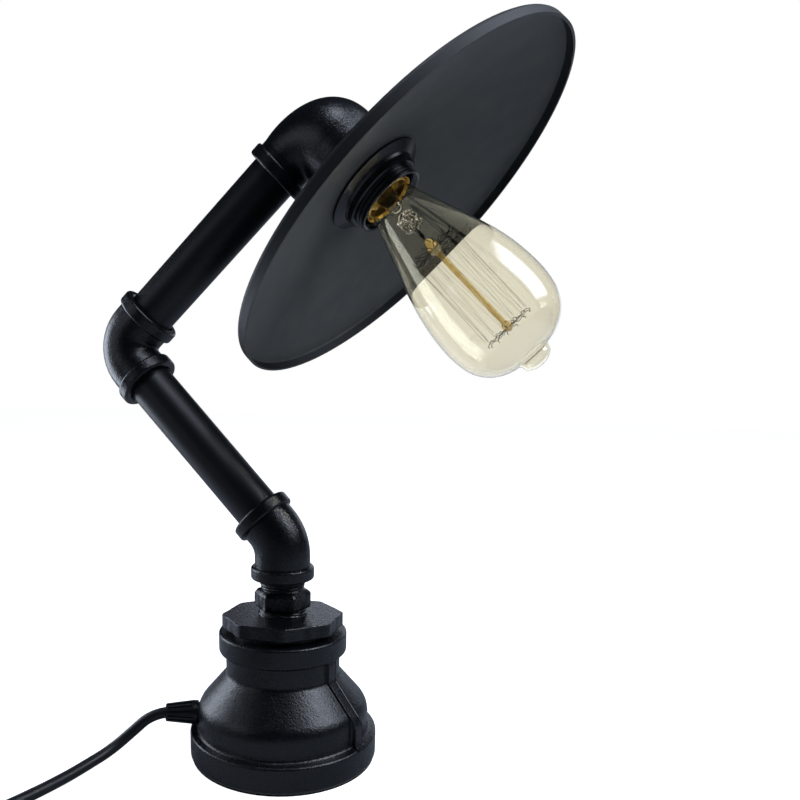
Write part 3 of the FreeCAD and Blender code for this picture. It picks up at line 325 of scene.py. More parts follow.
def paintedSurface(name, facts):
    # sprayed paint: lumps and pits of the ground show through, under a finer skin of orange peel
    material, tree, shader, place3d = newMaterial(name)
    lumps = addNode(tree, "ShaderNodeTexNoise", {"Scale": perSize(facts["lump"]), "Detail": 2.0},
                    {"Vector": place3d}).outputs["Fac"]
    pits = addNode(tree, "ShaderNodeTexNoise", {"Scale": perSize(facts["grain"]), "Detail": 3.0,
                                                "Roughness": 0.6}, {"Vector": place3d}).outputs["Fac"]
    peel = addNode(tree, "ShaderNodeTexNoise", {"Scale": perSize(facts["peel"]), "Detail": 1.0},
                   {"Vector": place3d}).outputs["Fac"]
    shade = ramp(tree, lumps, [(0.3, facts["dark"]), (0.7, facts["light"])])
    tree.links.new(shade, shader.inputs["Base Color"])
    rough = addNode(tree, "ShaderNodeMapRange", {"To Min": facts["smooth"], "To Max": facts["rough"]},
                    {"Value": pits})
    tree.links.new(rough.outputs["Result"], shader.inputs["Roughness"])
    relief = {}
    for part, height in (("lump", lumps), ("grain", pits), ("peel", peel)):
        size = {"Strength": facts[part + "Strength"], "Distance": paintDepths[part] * mm}
        bump = addNode(tree, "ShaderNodeBump", size, {"Height": height, **relief})
        relief = {"Normal": bump.outputs["Normal"]}
    tree.links.new(relief["Normal"], shader.inputs["Normal"])
    shader.inputs["IOR"].default_value = 1.5
    shader.inputs["Specular IOR Level"].default_value = facts["gloss"]
    return material


# black enamel sprayed over sand-cast iron: satin, with the sand's grain showing in the highlights
castEnamel = paintedSurface("castEnamel", {
    "dark": "#090b0f", "light": "#0e1116", "smooth": 0.22, "rough": 0.36, "gloss": 0.5,
    "lump": 5.0, "lumpStrength": 0.4, "grain": 1.1, "grainStrength": 0.9, "peel": 0.6, "peelStrength": 0.9})
# the same enamel over the rougher skin of the small castings: lumps and open grain
coarseEnamel = paintedSurface("coarseEnamel", {
    "dark": "#07090c", "light": "#0d1014", "smooth": 0.20, "rough": 0.40, "gloss": 0.5,
    "lump": 2.6, "lumpStrength": 0.8, "grain": 1.3, "grainStrength": 1.0, "peel": 0.5, "peelStrength": 0.9})
# the same enamel on drawn steel tube: smoother, so the highlight is an even soft stripe
tubeEnamel = paintedSurface("tubeEnamel", {
    "dark": "#0a0c10", "light": "#0d0f14", "smooth": 0.38, "rough": 0.46, "gloss": 0.5,
    "lump": 9.0, "lumpStrength": 0.08, "grain": 0.8, "grainStrength": 0.1, "peel": 0.35, "peelStrength": 0.3})
# powder coat on spun sheet: matt and even, a fine grain only
powderCoat = paintedSurface("powderCoat", {
    "dark": "#525350", "light": "#595a55", "smooth": 0.54, "rough": 0.62, "gloss": 0.5,
    "lump": 14.0, "lumpStrength": 0.03, "grain": 0.5, "grainStrength": 0.06,
    "peel": 0.3, "peelStrength": 0.25})
# moulded phenolic of the lampholder and the switch: hard black with a clean shine
mouldedPhenolic = paintedSurface("mouldedPhenolic", {
    "dark": "#060709", "light": "#090a0c", "smooth": 0.22, "rough": 0.30, "gloss": 0.5,
    "lump": 8.0, "lumpStrength": 0.05, "grain": 0.7, "grainStrength": 0.05,
    "peel": 0.3, "peelStrength": 0.15})
# PVC sheath of the cord and its strain relief: soft sheen, faint drawing marks
pvcSheath = paintedSurface("pvcSheath", {
    "dark": "#101214", "light": "#16181b", "smooth": 0.36, "rough": 0.48, "gloss": 0.5,
    "lump": 12.0, "lumpStrength": 0.05, "grain": 1.5, "grainStrength": 0.08,
    "peel": 0.4, "peelStrength": 0.15})
# closed-cell foam under the foot: dead black, open grain
foamRubber = paintedSurface("foamRubber", {
    "dark": "#0c0c0c", "light": "#141414", "smooth": 0.85, "rough": 0.95, "gloss": 0.3,
    "lump": 3.0, "lumpStrength": 0.2, "grain": 0.6, "grainStrength": 0.8, "peel": 0.3, "peelStrength": 0.3})


def paintShadeOutside(material, axis, paintedShadeHex, start=0.25, end=0.6):
    # painted shade: a face that looks along the axis keeps its colour; as the cosine between them falls from
    # end to start, the given dark colour takes over, standing in for the shade on faces turned away from the
    # light
    tree = material.node_tree
    shader = tree.nodes["Principled BSDF"]
    facing = addNode(tree, "ShaderNodeVectorMath", {"operation": "DOT_PRODUCT", 1: axis},
                     {0: addNode(tree, "ShaderNodeTexCoord").outputs["Normal"]})
    side = addNode(tree, "ShaderNodeMapRange", {"From Min": start, "From Max": end},
                   {"Value": facing.outputs["Value"]})
    inside = shader.inputs["Base Color"].links[0].from_socket
    both = addNode(tree, "ShaderNodeMix", {"data_type": "RGBA", 6: colour(paintedShadeHex)},
                   {0: side.outputs["Result"], 7: inside})
    tree.links.new(both.outputs[2], shader.inputs["Base Color"])


# the lamp shade's powder coat with painted shade: paler inside, near black on the rim wall and back, which
# face away from the light
shadeCoat = powderCoat.copy()
shadeCoat.name = "shadeCoat"
# painted shade: the shade's outside faces are darkened by which way they face
paintShadeOutside(shadeCoat, headDir, "#1b1d20")


def metalSurface(name, facts):
    # rolled or drawn metal: fine cloudy tarnish in colour and roughness
    material, tree, shader, place3d = newMaterial(name)
    clouds = addNode(tree, "ShaderNodeTexNoise", {"Scale": perSize(facts["cloud"]), "Detail": 4.0},
                     {"Vector": place3d}).outputs["Fac"]
    shade = ramp(tree, clouds, [(0.35, facts["dark"]), (0.65, facts["light"])])
    tree.links.new(shade, shader.inputs["Base Color"])
    rough = addNode(tree, "ShaderNodeMapRange", {"To Min": facts["smooth"], "To Max": facts["rough"]},
                    {"Value": clouds})
    tree.links.new(rough.outputs["Result"], shader.inputs["Roughness"])
    shader.inputs["Metallic"].default_value = 1.0
    return material


# pressed brass of the holder's screw shell, the bulb cap and the pins: warm yellow, a soft shine
pressedBrass = metalSurface("pressedBrass", {
    "dark": "#c29a44", "light": "#dcb45e", "cloud": 6.0, "smooth": 0.30, "rough": 0.40})
# zinc plate on small steel screws and clips: pale grey, a dull shine
zincPlate = metalSurface("zincPlate", {
    "dark": "#9a9ba0", "light": "#c9cacd", "cloud": 2.0, "smooth": 0.25, "rough": 0.42})
# squirrel-cage filament strands of carbon: dull brown
carbonFilament = metalSurface("carbonFilament", {
    "dark": "#5a4527", "light": "#7c6238", "cloud": 2.0, "smooth": 0.5, "rough": 0.7})
# oxidised molybdenum wire of the filament's hooks: near black, no shine
darkWire = metalSurface("darkWire", {
    "dark": "#060505", "light": "#120e0b", "cloud": 2.0, "smooth": 0.5, "rough": 0.7})


def ceramicSurface(name, facts):  # pressed and fired, faintly mottled
    material, tree, shader, place3d = newMaterial(name)
    spots = addNode(tree, "ShaderNodeTexNoise", {"Scale": perSize(facts["spot"]), "Detail": 4.0},
                    {"Vector": place3d}).outputs["Fac"]
    shade = ramp(tree, spots, [(0.3, facts["dark"]), (0.7, facts["light"])])
    tree.links.new(shade, shader.inputs["Base Color"])
    shader.inputs["Roughness"].default_value = facts["rough"]
    return material


def glassSurface(name, facts):
    # glass worked in a flame: its slow waviness bends what is seen through it; cloud, where given, is the
    # colour of the bubbles and cracks in it
    material, tree, shader, place3d = newMaterial(name)
    waves = addNode(tree, "ShaderNodeTexNoise", {"Scale": perSize(facts["wave"]), "Detail": 1.0},
                    {"Vector": place3d}).outputs["Fac"]
    bump = addNode(tree, "ShaderNodeBump", {"Strength": facts["strength"], "Distance": glassRelief * mm},
                   {"Height": waves})
    tree.links.new(bump.outputs["Normal"], shader.inputs["Normal"])
    shader.inputs["Base Color"].default_value = colour(facts["clear"])
    if "cloud" in facts:
        shade = ramp(tree, waves, [(0.44, facts["cloud"]), (0.50, facts["clear"])])
        tree.links.new(shade, shader.inputs["Base Color"])
    shader.inputs["Transmission Weight"].default_value = 1.0
    shader.inputs["IOR"].default_value = glassIor
    shader.inputs["Roughness"].default_value = facts["rough"]
    return material


def rodSurface(name, facts):  # drawn glass rod, tinted all through in faint bands
    material, tree, shader, place3d = newMaterial(name)
    bands = addNode(tree, "ShaderNodeTexNoise", {"Scale": perSize(facts["band"]), "Detail": 2.0},
                    {"Vector": place3d}).outputs["Fac"]
    shade = ramp(tree, bands, [(0.3, facts["dark"]), (0.7, facts["light"])])
    tree.links.new(shade, shader.inputs["Base Color"])
    shader.inputs["Roughness"].default_value = facts["rough"]
    shader.inputs["Transmission Weight"].default_value = facts["clearness"]
    shader.inputs["IOR"].default_value = glassIor
    return material


# fired steatite of the holder's core: off-white
steatite = ceramicSurface("steatite", {"dark": "#cfc9bb", "light": "#e6e2d8", "spot": 1.5, "rough": 0.45})
# blown bulb glass with a breath of amber: clear, mirror-smooth
amberGlass = glassSurface("amberGlass", {"clear": "#eeebde", "rough": 0.0, "wave": 30.0, "strength": 0.05})
# the squeezed glass of the pinch: full of small cracks and brown bubbles
crackedGlass = glassSurface("crackedGlass", {"clear": "#ffffff", "cloud": "#2c1c0c", "rough": 0.03,
                                             "wave": 1.2, "strength": 0.6})
# amber glass rod: golden and half clear
amberRod = rodSurface("amberRod", {"dark": "#d8b462", "light": "#ecd795", "band": 4.0, "rough": 0.08,
                                   "clearness": 0.7})
print("materials made")


# nodes that keep their solid and get a finish

def dress(material, *names):
    for name in names:
        node = frame["nodes"][name]
        for slot in node.material_slots:
            slot.material = material


def finishPiece(piece, material, body, slot, *replaced):
    piece.data.materials.append(material)
    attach(piece, body)
    if replaced:
        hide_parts(*replaced)
    return piece


dress(castEnamel, "lower_elbow", "middle_elbow", "head_elbow")
dress(tubeEnamel, "lower_pipe", "upper_pipe")
dress(powderCoat, "base_plate")
dress(shadeCoat, "shade")
dress(mouldedPhenolic, "holder_cap", "shade_ring", "switch_lower", "switch_upper", "switch_rocker",
      "plug_body", "terminal_block", "relief_locknut", "bulb_insulator")
dress(pvcSheath, "cord_relief", "base_lead", "riser_lead", "lower_lead", "upper_lead", "head_lead",
      "coil_tie")
dress(foamRubber, "foot_pad")
dress(pressedBrass, "centre_contact", "bulb_cap", "bulb_contact", "plug_pins")
dress(zincPlate, "base_plate_screws", "earth_screw", "earth_lug", "holder_screws", "switch_screws",
      "switch_contacts", "plug_earth_clips")
dress(steatite, "holder_core")
cord.data.materials.append(pvcSheath)
print("finishes on")


# castings of the foot: reducing socket, octagon bush, hexagon nipple

socketFacts = {"band": 55.9, "foot": 2.2, "bandTop": 16.4, "body": 50.8, "shoulder": 32.2, "neck": 33.7,
               "neckHeight": 52.2, "collar": 37.7, "collarFoot": 65.6, "collarTop": 77.3, "step": 1.2,
               "wall": 5.0, "mouth": 44.0, "mouthDepth": 11.0, "bore": 29.7, "belowBend": 2.0,
               "ribs": (-10.5, 150.5), "ribHalf": 4.0, "ribSide": 0.7, "ribStand": 2.9,
               "beadTall": 0.3, "beadReach": 0.45,
               "grits": 130, "gritHeights": (20, 76), "gritReaches": (0.45, 1.1), "gritTalls": (0.06, 0.20),
               "rowStep": 1.1, "evenColumns": 250, "ribColumns": 55, "ribSpan": 7.5}


def turnedBy(angle, middle):  # signed angle from middle, between minus and plus half a turn
    return (angle - middle + math.pi) % (2 * math.pi) - math.pi


def makeSocket(facts):
    body, neck, shoulder, neckHeight = (facts[k] for k in ("body", "neck", "shoulder", "neckHeight"))
    foot, top, collar, collarFoot = (facts[k] for k in ("foot", "collarTop", "collar", "collarFoot"))
    band, bandTop, mouth, hollow = facts["band"], facts["bandTop"], facts["mouth"], body - facts["wall"]
    step, below, depth = facts["step"], facts["belowBend"], facts["mouthDepth"]
    corners = [(mouth, foot, 0.3), (band, foot, 0.6), (band, bandTop, 1.6), (body, bandTop + step, 2.2),
               (body, shoulder, 13.0), (neck, neckHeight, 4.0), (neck, collarFoot - step, 1.8),
               (collar, collarFoot, 1.6), (collar, top, 1.6), (facts["bore"], top, 0.6),
               (facts["bore"], neckHeight - below, 0), (hollow, shoulder - below, 0), (hollow, depth + 2, 0),
               (mouth, depth, 0)]
    outline = roundedOutline(corners, True, 8)
    profile = fineRows(np.vstack([outline, outline[:1]]), facts["rowStep"])[:-1]
    # even columns, and close ones across each rib
    ribAt = np.radians(facts["ribs"])
    even = np.linspace(0, 2 * math.pi, facts["evenColumns"], endpoint=False)
    across = np.linspace(-facts["ribSpan"], facts["ribSpan"], facts["ribColumns"]) * math.pi / 180
    nearRib = (ribAt[:, None] + across).ravel() % (2 * math.pi)
    angles = np.unique(np.round(np.concatenate([even, nearRib]), 6))
    ranges = [(0, 2 * math.pi), facts["gritHeights"], facts["gritReaches"], facts["gritTalls"]]
    grits = np.stack([random.uniform(low, high, facts["grits"]) for low, high in ranges])
    # inside this radius at each height a row belongs to the inner wall
    skin = [(0, 52), (12, 52), (shoulder - 2, body - 3.2), (neckHeight - 2, neck - 2.4), (80, neck - 2.4)]
    # how far a rib stands out at each height
    rise = [(bandTop - 2, 0), (bandTop + 0.6, facts["ribStand"]), (28, facts["ribStand"]), (36, 1.5),
            (52, 1.4), (collarFoot - 3, 1.7), (collarFoot + 1, 0)]

    def cast(angle, radius, height):
        # rib: stand * smooth box of half width ribHalf, with a fine bead along its edges; grit: the sum of
        # tall * exp(-distance squared / reach squared) over all grits
        outside = (radius > np.interp(height, *zip(*skin))) & (radius < band - 1.3)
        stand = np.interp(height, *zip(*rise))
        raised = np.zeros_like(radius)
        for middle in ribAt:
            aside = np.abs(turnedBy(angle, middle) * radius)
            box = np.clip((facts["ribHalf"] - aside) / facts["ribSide"], 0, 1)
            edge = (aside - facts["ribHalf"] + facts["ribSide"]) / facts["beadReach"]
            bead = facts["beadTall"] * np.exp(-edge ** 2)
            raised = np.maximum(raised, stand * box * box * (3 - 2 * box) + bead * (stand > 0.5))
        grit = np.zeros_like(radius)
        for turn, level, reach, tall in grits.T:
            away = (turnedBy(angle, turn) * radius) ** 2 + (height - level) ** 2
            grit += tall * np.exp(-away / reach ** 2)
        return radius + outside * (raised + grit), height

    piece = turnedPiece("reducingSocket", profile, upright, shape=cast, angles=angles)
    finishPiece(piece, castEnamel, "stand", "cast_black", "base_socket")


def manySided(angle, sides, softness):
    # ratio of a regular outline to its circumradius, first corner at angle 0: cos(half) / cos(angle off the
    # middle of the flat), capped at 1 - softness so that the corners are a little round
    half = math.pi / sides
    flat = math.cos(half) / np.cos(angle % (2 * half) - half)
    return -np.log(np.exp(-flat / softness) + np.exp(-(1 - softness) / softness)) * softness


def ripples(waves, angle, height):  # the sum of tall * sin(around * angle + upwards * height)
    return sum(tall * np.sin(around * angle + upwards * height) for tall, around, upwards in waves)


bushFacts = {"corner": 35.9, "foot": 79.3, "top": 87.0, "rim": 0.45, "angle": 28.0, "softness": 0.006,
             "lean": -2.4, "leanAngle": 23.8, "shank": 29.5, "shankFoot": 74.0, "bore": 13.5, "columns": 320,
             "waves": [(0.12, 11, 1.0), (0.08, 23, -2.0)]}


def makeBush(facts):
    lean, about = math.radians(facts["lean"]), math.radians(facts["leanAngle"])
    tilted = np.array([math.sin(about) * math.sin(lean), -math.cos(about) * math.sin(lean), math.cos(lean)])
    corner, foot, top, rim = (facts[k] for k in ("corner", "foot", "top", "rim"))
    shank, shankFoot, bore = (facts[k] for k in ("shank", "shankFoot", "bore"))
    local = place(np.array([0, 0, top * mm]) - tilted * top * mm, (1, 0, 0), tilted)

    def octagon(angle, radius, height):  # rows wider than the shank: radius * eight-sided ratio + ripples
        sided = radius * manySided(angle - math.radians(facts["angle"]), 8, facts["softness"])
        return np.where(radius > shank + 1, sided + ripples(facts["waves"], angle, height), radius), height

    profile = [(bore, shankFoot, 0), (shank, shankFoot, 0.5), (shank, foot, 0), (corner - rim, foot, 0),
               (corner, foot + rim, 0.3), (corner, top - rim, 0.3), (corner - rim, top, 0.3),
               (bore, top, 0.3)]
    piece = turnedPiece("octagonBush", profile, local, facts["columns"], octagon)
    finishPiece(piece, coarseEnamel, "stand", "cast_black", "octagon_bush")


nippleFacts = {"corner": 16.8, "hexFoot": 90.6, "hexTop": 101.9, "angle": 19.0, "softness": 0.008,
               "bore": 8.5, "crest": 13.45, "foot": 72.0, "top": 121.0, "chamfer": 0.6, "columns": 180,
               "pitch": 1.81, "depth": 0.5, "threadTop": 110.0,
               "ring": [(0.9, 86.2), (0.8, 88.2), (0.2, 89.2)],  # standing out from the crest, height
               "taper": [(-0.7, 103.6), (0.0, 106.6), (0.0, 110.0)],  # the same, for the thread
               "waves": [(0.12, 9, 1.3), (0.10, 17, -2.1)], "ringWaves": [(0.25, 7, 4.0)]}


def makeNipple(facts):
    crest, low, high, corner = (facts[k] for k in ("crest", "hexFoot", "hexTop", "corner"))
    foot, top, bore, chamfer = (facts[k] for k in ("foot", "top", "bore", "chamfer"))

    def hexagon(angle, radius, height):
        # hexagon: radius * six-sided ratio + ripples; above it radius - depth * (1 + cos(2 pi turns)) / 2;
        # ring below it: radius + ripples
        head = (height > low) & (height < high) & (radius > crest + 0.3)
        flats = radius * manySided(angle - math.radians(facts["angle"]), 6, facts["softness"])
        flats = np.maximum(flats + ripples(facts["waves"], angle, height), crest - 0.3)
        turns = height / facts["pitch"] - angle / (2 * math.pi)
        groove = facts["depth"] * (0.5 + 0.5 * np.cos(2 * math.pi * turns))
        threaded = (radius > crest - 2) & (height > high + 0.3) & (height < facts["threadTop"])
        lumps = ripples(facts["ringWaves"], angle, height) * (radius > crest) * (height < low)
        return np.where(head, flats, radius - groove * threaded + lumps), height

    ring = [(crest + stand, height) for stand, height in facts["ring"]]
    taper = [(crest + stand, height) for stand, height in facts["taper"]]
    rows = np.vstack([
        [(bore, foot), (crest - chamfer, foot), (crest, foot + chamfer), (crest, 86.0)],
        fineRows(ring + [(crest, low - 0.1)], 0.3),
        [(15.0, low + 0.1), (16.0, low + 0.7), (corner, low + 1.9), (corner, low + 2.2),
         (corner, high - 2.6), (corner, high - 2.3), (16.0, high - 1.2), (14.9, high - 0.2)],
        fineRows([(crest - 0.9, high + 0.2)] + taper, 0.2),
        [(crest, top - chamfer), (crest - chamfer, top), (bore, top)]])
    piece = turnedPiece("hexagonNipple", rows, upright, facts["columns"], hexagon)
    finishPiece(piece, coarseEnamel, "stand", "cast_black", "hex_nipple")


makeSocket(socketFacts)
makeBush(bushFacts)
makeNipple(nippleFacts)
print("castings of the foot made")


# bulb: glass, stem, pinch, rod, hooks and filament

glassFacts = {"neckRadius": 12.2, "foot": 50.0, "wall": 0.8, "rimDrop": 0.2, "columns": 128,
              "runStep": 4.0, "arcStep": 3.0,
              "runs": [4.4, (17.4, 20.0), 45.6, (-17.4, 120.0), (-12.0, 60.0), (-70.0, 24.0), (82.0, 2.8),
                       (-50.0, 2.6), (-40.0, 11.0)]}


def bulbOutline(facts):
    # straight runs (length) and tangent arcs (turn, radius) from the neck to the tip, with the outward
    # direction at each spot; bearing is the angle off the axis, outwards positive
    spot, bearing = np.array([facts["neckRadius"], facts["foot"]]), 0.0
    spots, outward = [spot], [np.array([1.0, 0.0])]
    for run in facts["runs"]:
        if not isinstance(run, tuple):
            steps = max(1, round(run / facts["runStep"]))
            ahead = np.array([math.sin(bearing), math.cos(bearing)])
            for k in range(steps):
                spot = spot + ahead * run / steps
                spots.append(spot)
                outward.append(np.array([ahead[1], -ahead[0]]))
            continue
        turn, radius = math.radians(run[0]), run[1]
        steps = max(3, round(abs(run[0]) / facts["arcStep"]))
        for k in range(steps):
            middle = bearing + turn / steps * (k + 0.5)
            chord = 2 * radius * math.sin(abs(turn) / steps / 2)
            spot = spot + np.array([math.sin(middle), math.cos(middle)]) * chord
            here = bearing + turn / steps * (k + 1)
            spots.append(spot)
            outward.append(np.array([math.cos(here), -math.sin(here)]))
        bearing += turn
    return np.array(spots), np.array(outward)


def makeGlass(facts):  # the outline and the same moved in by the wall, joined by a rim at the neck
    outer, outward = bulbOutline(facts)
    inner = outer - outward * facts["wall"]
    outer[-1, 0] = inner[-1, 0] = 0.0
    rim = [(facts["neckRadius"] - inset, facts["foot"] - facts["rimDrop"]) for inset in (0.55, 0.25)]
    glass = turnedPiece("bulbGlass", np.vstack([inner[::-1], rim, outer]), headPlace, facts["columns"],
                        closed=False)
    finishPiece(glass, amberGlass, "bulb", "glass", "bulb_glass")


stemFacts = {"wall": 0.35, "rowStep": 0.7, "columns": 72,
             "outline": [(10.6, 50.3), (7.4, 51.6), (5.8, 53.6), (4.9, 56.4), (4.4, 60.0), (3.8, 63.0),
                         (2.8, 65.0), (1.6, 65.9), (0.0, 66.1)]}


def makeStem(facts):  # thin flared tube up from the neck, closed at its top: outline and the same moved in
    line = fineRows(facts["outline"], facts["rowStep"])
    slope = np.gradient(line, axis=0)
    slope /= np.linalg.norm(slope, axis=1)[:, None]
    inside = line - np.stack([slope[:, 1], -slope[:, 0]], 1) * facts["wall"]
    inside[-1, 0] = 0.0
    stem = turnedPiece("bulbStem", np.vstack([inside[::-1], line]), headPlace, facts["columns"], closed=False)
    finishPiece(stem, amberGlass, "bulb", "glass", "bulb_stem")


pinchFacts = {"chip": 0.85, "chipRise": 0.6, "chipShift": 5, "wider": 0.30, "flatter": 0.22, "columns": 22,
              "outline": [(0, 67.6), (2.0, 68.2), (2.6, 69.0), (3.2, 69.8), (3.7, 70.6), (4.1, 71.5),
                          (3.7, 72.4), (4.0, 73.3), (3.6, 74.2), (4.1, 75.1), (3.8, 76.0), (4.1, 76.9),
                          (3.6, 77.8), (3.3, 78.6), (2.6, 79.4), (1.6, 80.2), (1.1, 81.2), (1.0, 84.0),
                          (1.0, 87.3), (0, 87.4)]}


def makePinch(facts):  # the squeezed glass above the stem, crazed into small facets
    outline = np.array(facts["outline"])
    chips = random.uniform(-facts["chip"], facts["chip"], (len(outline), facts["columns"]))
    chips *= np.clip(outline[:, :1] - 2.0, 0, 1)  # none where it is thin

    def pinched(angle, radius, height):  # radius * (1 + wider * cos squared - flatter * sin squared) + chips
        squeezed = np.clip(radius - 1.2, 0, 1)
        girth = 1 + squeezed * (facts["wider"] * np.cos(angle) ** 2 - facts["flatter"] * np.sin(angle) ** 2)
        lift = facts["chipRise"] * np.roll(chips, facts["chipShift"], 1) * (radius > 0)
        return radius * girth + chips, height + lift

    pinch = turnedPiece("bulbPinch", outline, headPlace, facts["columns"], pinched, closed=False)
    pinch.data.shade_flat()
    finishPiece(pinch, crackedGlass, "bulb", "glass")


rodFacts = {"columns": 40,  # corners: a flared collar for the upper hooks, a thin rod, a button at its end
            "corners": [(0.0, 87.6, 0), (1.5, 88.0, 0.4), (3.5, 93.0, 0.7), (3.3, 95.8, 0.5),
                        (2.0, 96.6, 0.5), (1.6, 98.0, 0.4), (1.5, 148.4, 0.5), (2.7, 150.0, 0.5),
                        (2.8, 153.0, 0.7), (0.0, 154.4, 0)]}


def makeRod(facts):
    rod = turnedPiece("bulbRod", facts["corners"], headPlace, facts["columns"], closed=False)
    finishPiece(rod, amberRod, "bulb", "brass", "bulb_rod")


cageFacts = {"hooks": 13, "radius": 13.6, "top": 94.0, "foot": 151.0, "footLift": 1.0,
             "hookWire": 0.17, "leadWire": 0.16, "filamentWire": 0.05, "filamentSides": 5,
             "reach": [1.6, 3.6, 5.2, 6.6, 8.2, 9.6, 11.2, 12.6, 13.5, 14.2, 13.9, 13.4],
             "drift": [0, 0.3, -0.4, 0.2, 0.5, -0.6, 0.2, 0.3, 0, 0.2, 0.1, 0],
             "lead": [(0, 2.0, 79.0), (0.4, 3.2, 84), (-0.5, 6.0, 89.5), (0.3, 10.5, 93.2), (0, 13.4, 93.4)]}


def hookGrid(facts, turn, level, sense, bend):
    # wavy spoke out of the rod that ends in a small open loop: reach outwards, rise along the axis and drift
    # sideways, each a list of steps that the random bend stretches
    axis = np.array([0.0, 0.0, 1.0])
    out = np.array([math.cos(turn), math.sin(turn), 0.0])
    across = np.cross(axis, out)
    reach = np.array(facts["reach"])
    drift = np.array(facts["drift"]) * bend[1]
    rise = np.array([0, 0.5 * bend[0], 0.1, 0.8 * bend[1], -0.7 * bend[0], 0.5, 0.7 * bend[2], -0.3, 0.2, 0.7,
                     1.2, 1.0])
    path = out * reach[:, None] + across * drift[:, None] + axis * (level + sense * rise)[:, None]
    return wireGrid(path, facts["hookWire"], across)


def makeCage(facts):  # hooks above and below, and between them the filament's strands, up and down in turn
    count, radius, top, foot = (facts[k] for k in ("hooks", "radius", "top", "foot"))
    hooks, strands = [], []
    bends = random.uniform(-1, 1, (count, 2, 3))
    for k in range(count):
        upTurn, downTurn, nextTurn = (2 * math.pi * (k + part) / count for part in (0.0, 0.5, 1.0))
        hooks.append(hookGrid(facts, upTurn, top, -1, bends[k, 0]))
        hooks.append(hookGrid(facts, downTurn, foot + facts["footLift"], 1, bends[k, 1]))
        ends = [np.array([radius * math.cos(turn), radius * math.sin(turn), level])
                for turn, level in ((upTurn, top), (downTurn, foot), (nextTurn, top))]
        for here, there in ((ends[0], ends[1]), (ends[1], ends[2])):
            strands.append(wireGrid([here, (here * 2 + there) / 3, (here + there * 2) / 3, there],
                                    facts["filamentWire"], here * (1, 1, 0), facts["filamentSides"]))
    for side in (-1, 1):  # lead wires out of the pinch to the upper hooks
        path = [(x, side * y, z) for x, y, z in facts["lead"]]
        hooks.append(wireGrid(path, facts["leadWire"], np.array([1.0, 0, 0])))
    for name, grids, material, nodes in (("bulbHooks", hooks, darkWire, ("bulb_supports", "bulb_leads")),
                                         ("bulbFilament", strands, carbonFilament, ("bulb_filament",))):
        placed = [toWorld(headPlace, grid.reshape(-1, 3) * mm).reshape(grid.shape) for grid in grids]
        finishPiece(pieceFromGrids(name, placed), material, "bulb", "steel", *nodes)


makeGlass(glassFacts)
makeStem(stemFacts)
makePinch(pinchFacts)
makeRod(rodFacts)
makeCage(cageFacts)
print("bulb made")


# lampholder: threaded sleeve and screw shell

sleeveFacts = {"top": 59.2, "foot": 29.0, "capTop": 44.0, "crest": 19.85, "root": 18.95, "hollow": 16.6,
               "threadFoot": 52.0, "pitch": 2.4, "ridgePower": 8, "lower": 1.3, "rim": 0.3,
               "mouthWidth": 1.7, "mouthDepth": 2.4, "rowStep": 0.15, "columns": 160}


def makeSleeve(facts):
    top, root, crest, hollow = (facts[k] for k in ("top", "root", "crest", "hollow"))
    foot, capTop, lower, rim = (facts[k] for k in ("foot", "capTop", "lower", "rim"))

    def thread(angle, radius, height):  # radius = root + (crest - root) * |cos(pi * turns)| ^ ridgePower
        turns = height / facts["pitch"] - angle / (2 * math.pi)
        ridge = np.abs(np.cos(math.pi * turns)) ** facts["ridgePower"]
        cutIn = np.clip((height - facts["threadFoot"]) / 0.8, 0, 1)  # the thread fades in and out
        cutIn = cutIn * np.clip((top - 0.25 - height) / 0.4, 0, 1)
        outside = radius > crest - 0.7
        return np.where(outside, radius - (crest - root) * cutIn * (1 - ridge), radius), height

    inner = [(hollow, top - facts["mouthDepth"] - 0.5), (hollow, foot), (crest - lower, foot),
             (crest - lower, capTop), (crest, capTop)]
    outer = fineRows([(crest, facts["threadFoot"] - 0.5), (crest, top - rim), (crest - rim, top)],
                     facts["rowStep"])
    mouth = [(hollow + facts["mouthWidth"], top), (hollow + 0.1, top - facts["mouthDepth"])]
    piece = turnedPiece("holderSleeve", np.vstack([inner, outer, mouth]), headPlace, facts["columns"], thread)
    finishPiece(piece, mouldedPhenolic, "head", "black_plastic", "holder_sleeve")


shellFacts = {"foot": 33.0, "top": 57.6, "hollow": 13.45, "mouth": 14.7, "wall": 0.45, "neck": 54.0,
              "pitch": 3.6, "wave": 0.28, "threadTop": 53.5, "tabs": 18, "tabDepth": 1.1, "tabPower": 24,
              "tabLength": 1.6, "seam": 0.3, "seamFrom": 50.0, "rowStep": 0.5, "columns": 216}


def makeShell(facts):
    foot, top, hollow, mouth = (facts[k] for k in ("foot", "top", "hollow", "mouth"))
    wall, neck = facts["wall"], facts["neck"]

    def pressed(angle, radius, height):
        # rolled thread below: radius + wave * sin(2 pi turns); round the mouth |cos(tabs * angle / 2)| to a
        # high power cuts the notches between the tabs
        rolled = facts["wave"] * np.sin(2 * math.pi * (height / facts["pitch"] - angle / (2 * math.pi)))
        low = np.clip((height - foot - 1) / 2, 0, 1) * np.clip((facts["threadTop"] - height) / 1.5, 0, 1)
        notch = np.abs(np.cos(angle * facts["tabs"] / 2)) ** facts["tabPower"]
        lip = np.clip((height - top + facts["tabLength"]) / 1.2, 0, 1)
        seam = facts["seam"] * notch * np.clip(height - facts["seamFrom"], 0, 1)
        return radius + rolled * low + seam, height - facts["tabDepth"] * notch * lip

    inner = [(hollow, foot), (hollow, neck), (hollow + 0.2, neck + 1.6), (mouth - wall, top - 0.4),
             (mouth - wall * 0.8, top)]
    outer = [(radius + wall, height - 0.1 * (height < top)) for radius, height in inner]
    profile = np.vstack([fineRows(inner[::-1], facts["rowStep"]), fineRows(outer, facts["rowStep"])])
    shell = turnedPiece("holderShell", profile, headPlace, facts["columns"], pressed)
    finishPiece(shell, pressedBrass, "head", "brass", "holder_shell")


makeSleeve(sleeveFacts)
makeShell(shellFacts)
print("lampholder made")


# room and light

